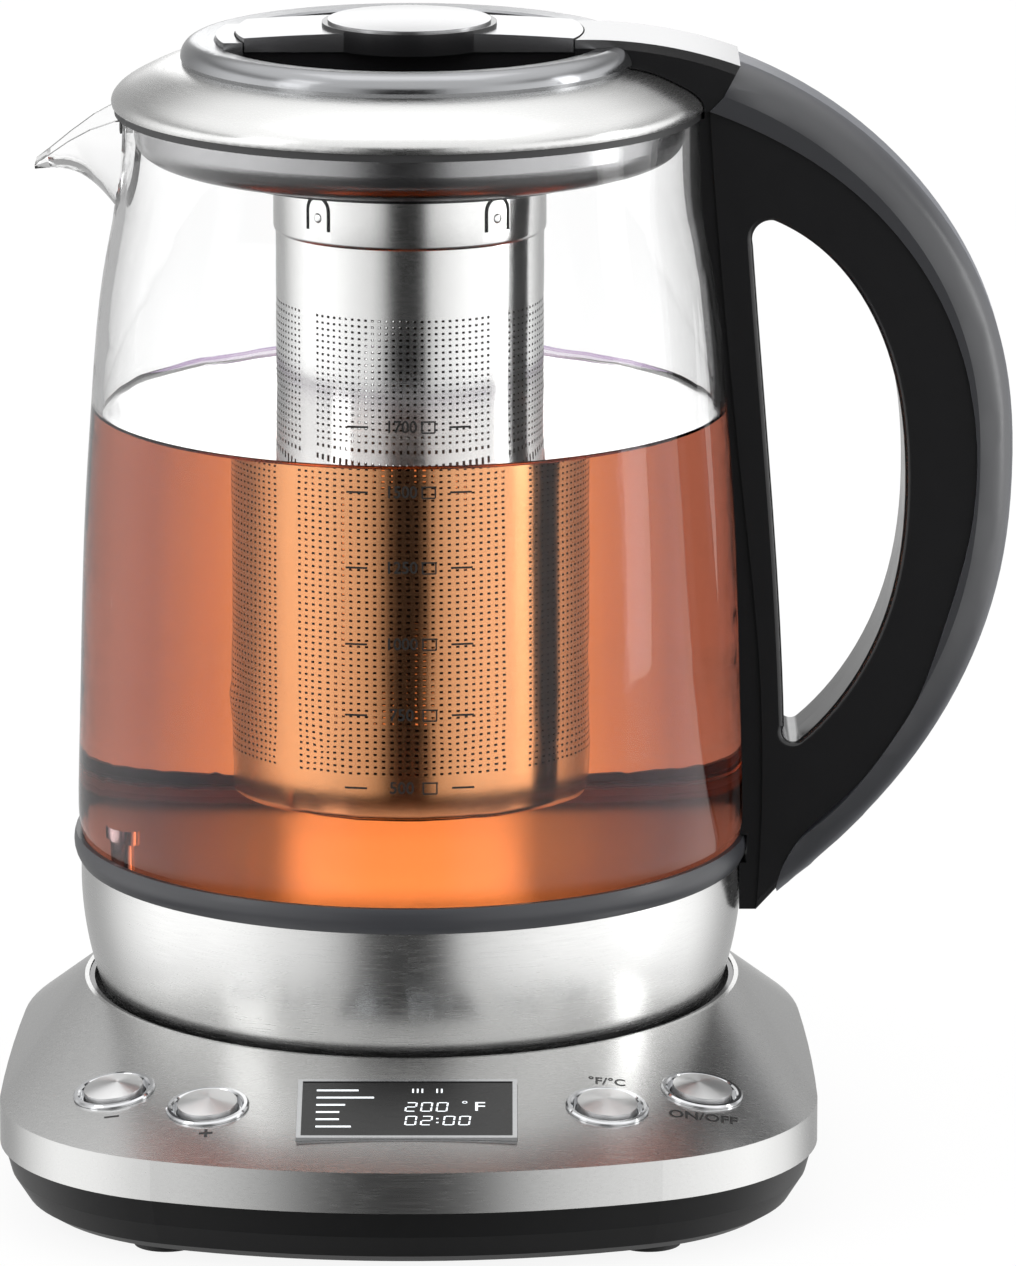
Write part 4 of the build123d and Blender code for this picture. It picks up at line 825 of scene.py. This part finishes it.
panel = addNode(tree, "ShaderNodeMath", {0: fades["panelSide"], 1: upright.outputs[0]}, operation="MULTIPLY")
dressed = addNode(tree, "ShaderNodeMix", {"Factor": panel.outputs[0], 6: wholeRound.outputs[2],
                                          7: grey(studio["backPanel"])}, data_type="RGBA")
lit = addNode(tree, "ShaderNodeBackground", {"Color": dressed.outputs[2], "Strength": 1.0})
# the camera sees plain white, also straight through the glass, but not in what the object reflects
path = addNode(tree, "ShaderNodeLightPath")
direct = addNode(tree, "ShaderNodeMath", {0: path.outputs["Glossy Depth"], 1: 0.5}, operation="LESS_THAN")
soft = addNode(tree, "ShaderNodeMath", {0: path.outputs["Diffuse Depth"], 1: 0.5}, operation="LESS_THAN")
first = addNode(tree, "ShaderNodeMath", {0: soft.outputs[0], 1: direct.outputs[0]}, operation="MULTIPLY")
through = addNode(tree, "ShaderNodeMath", {0: path.outputs["Is Transmission Ray"], 1: first.outputs[0]},
                  operation="MULTIPLY")
plain = addNode(tree, "ShaderNodeMath", {0: path.outputs["Is Camera Ray"], 1: through.outputs[0]},
                operation="MAXIMUM")
blank = addNode(tree, "ShaderNodeBackground", {"Color": colour("#ffffff"), "Strength": 1.0})
mixed = addNode(tree, "ShaderNodeMixShader", {0: plain.outputs[0], 1: lit.outputs[0], 2: blank.outputs[0]})
out = addNode(tree, "ShaderNodeOutputWorld", {"Surface": mixed.outputs[0]})

lampAim = Vector((0, 0, 0.13))          # from the foot of the kettle's axis
lamps = {
    "leftBox": {"at": (-1.3, -0.75, 0.75), "size": (0.5, 1.3), "watts": 3.0},
    "topBox": {"at": (0.0, 0.1, 1.7), "size": (1.3, 1.0), "watts": 2.8},
    "rightBox": {"at": (1.2, -0.1, 0.32), "size": (0.25, 0.9), "watts": 2.2},
}
for name, lamp in lamps.items():
    light = bpy.data.lights.new(name, "AREA")
    light.shape = "RECTANGLE"
    light.size, light.size_y = lamp["size"]
    light.energy = lamp["watts"]
    box = bpy.data.objects.new(name, light)
    box.location = axisAt + Vector(lamp["at"])
    box.rotation_euler = (lampAim - Vector(lamp["at"])).to_track_quat("-Z", "Y").to_euler()
    box.visible_camera = False
    scene.collection.objects.link(box)
scene.view_settings.view_transform = "Standard"
print("studio lit")

low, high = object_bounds()
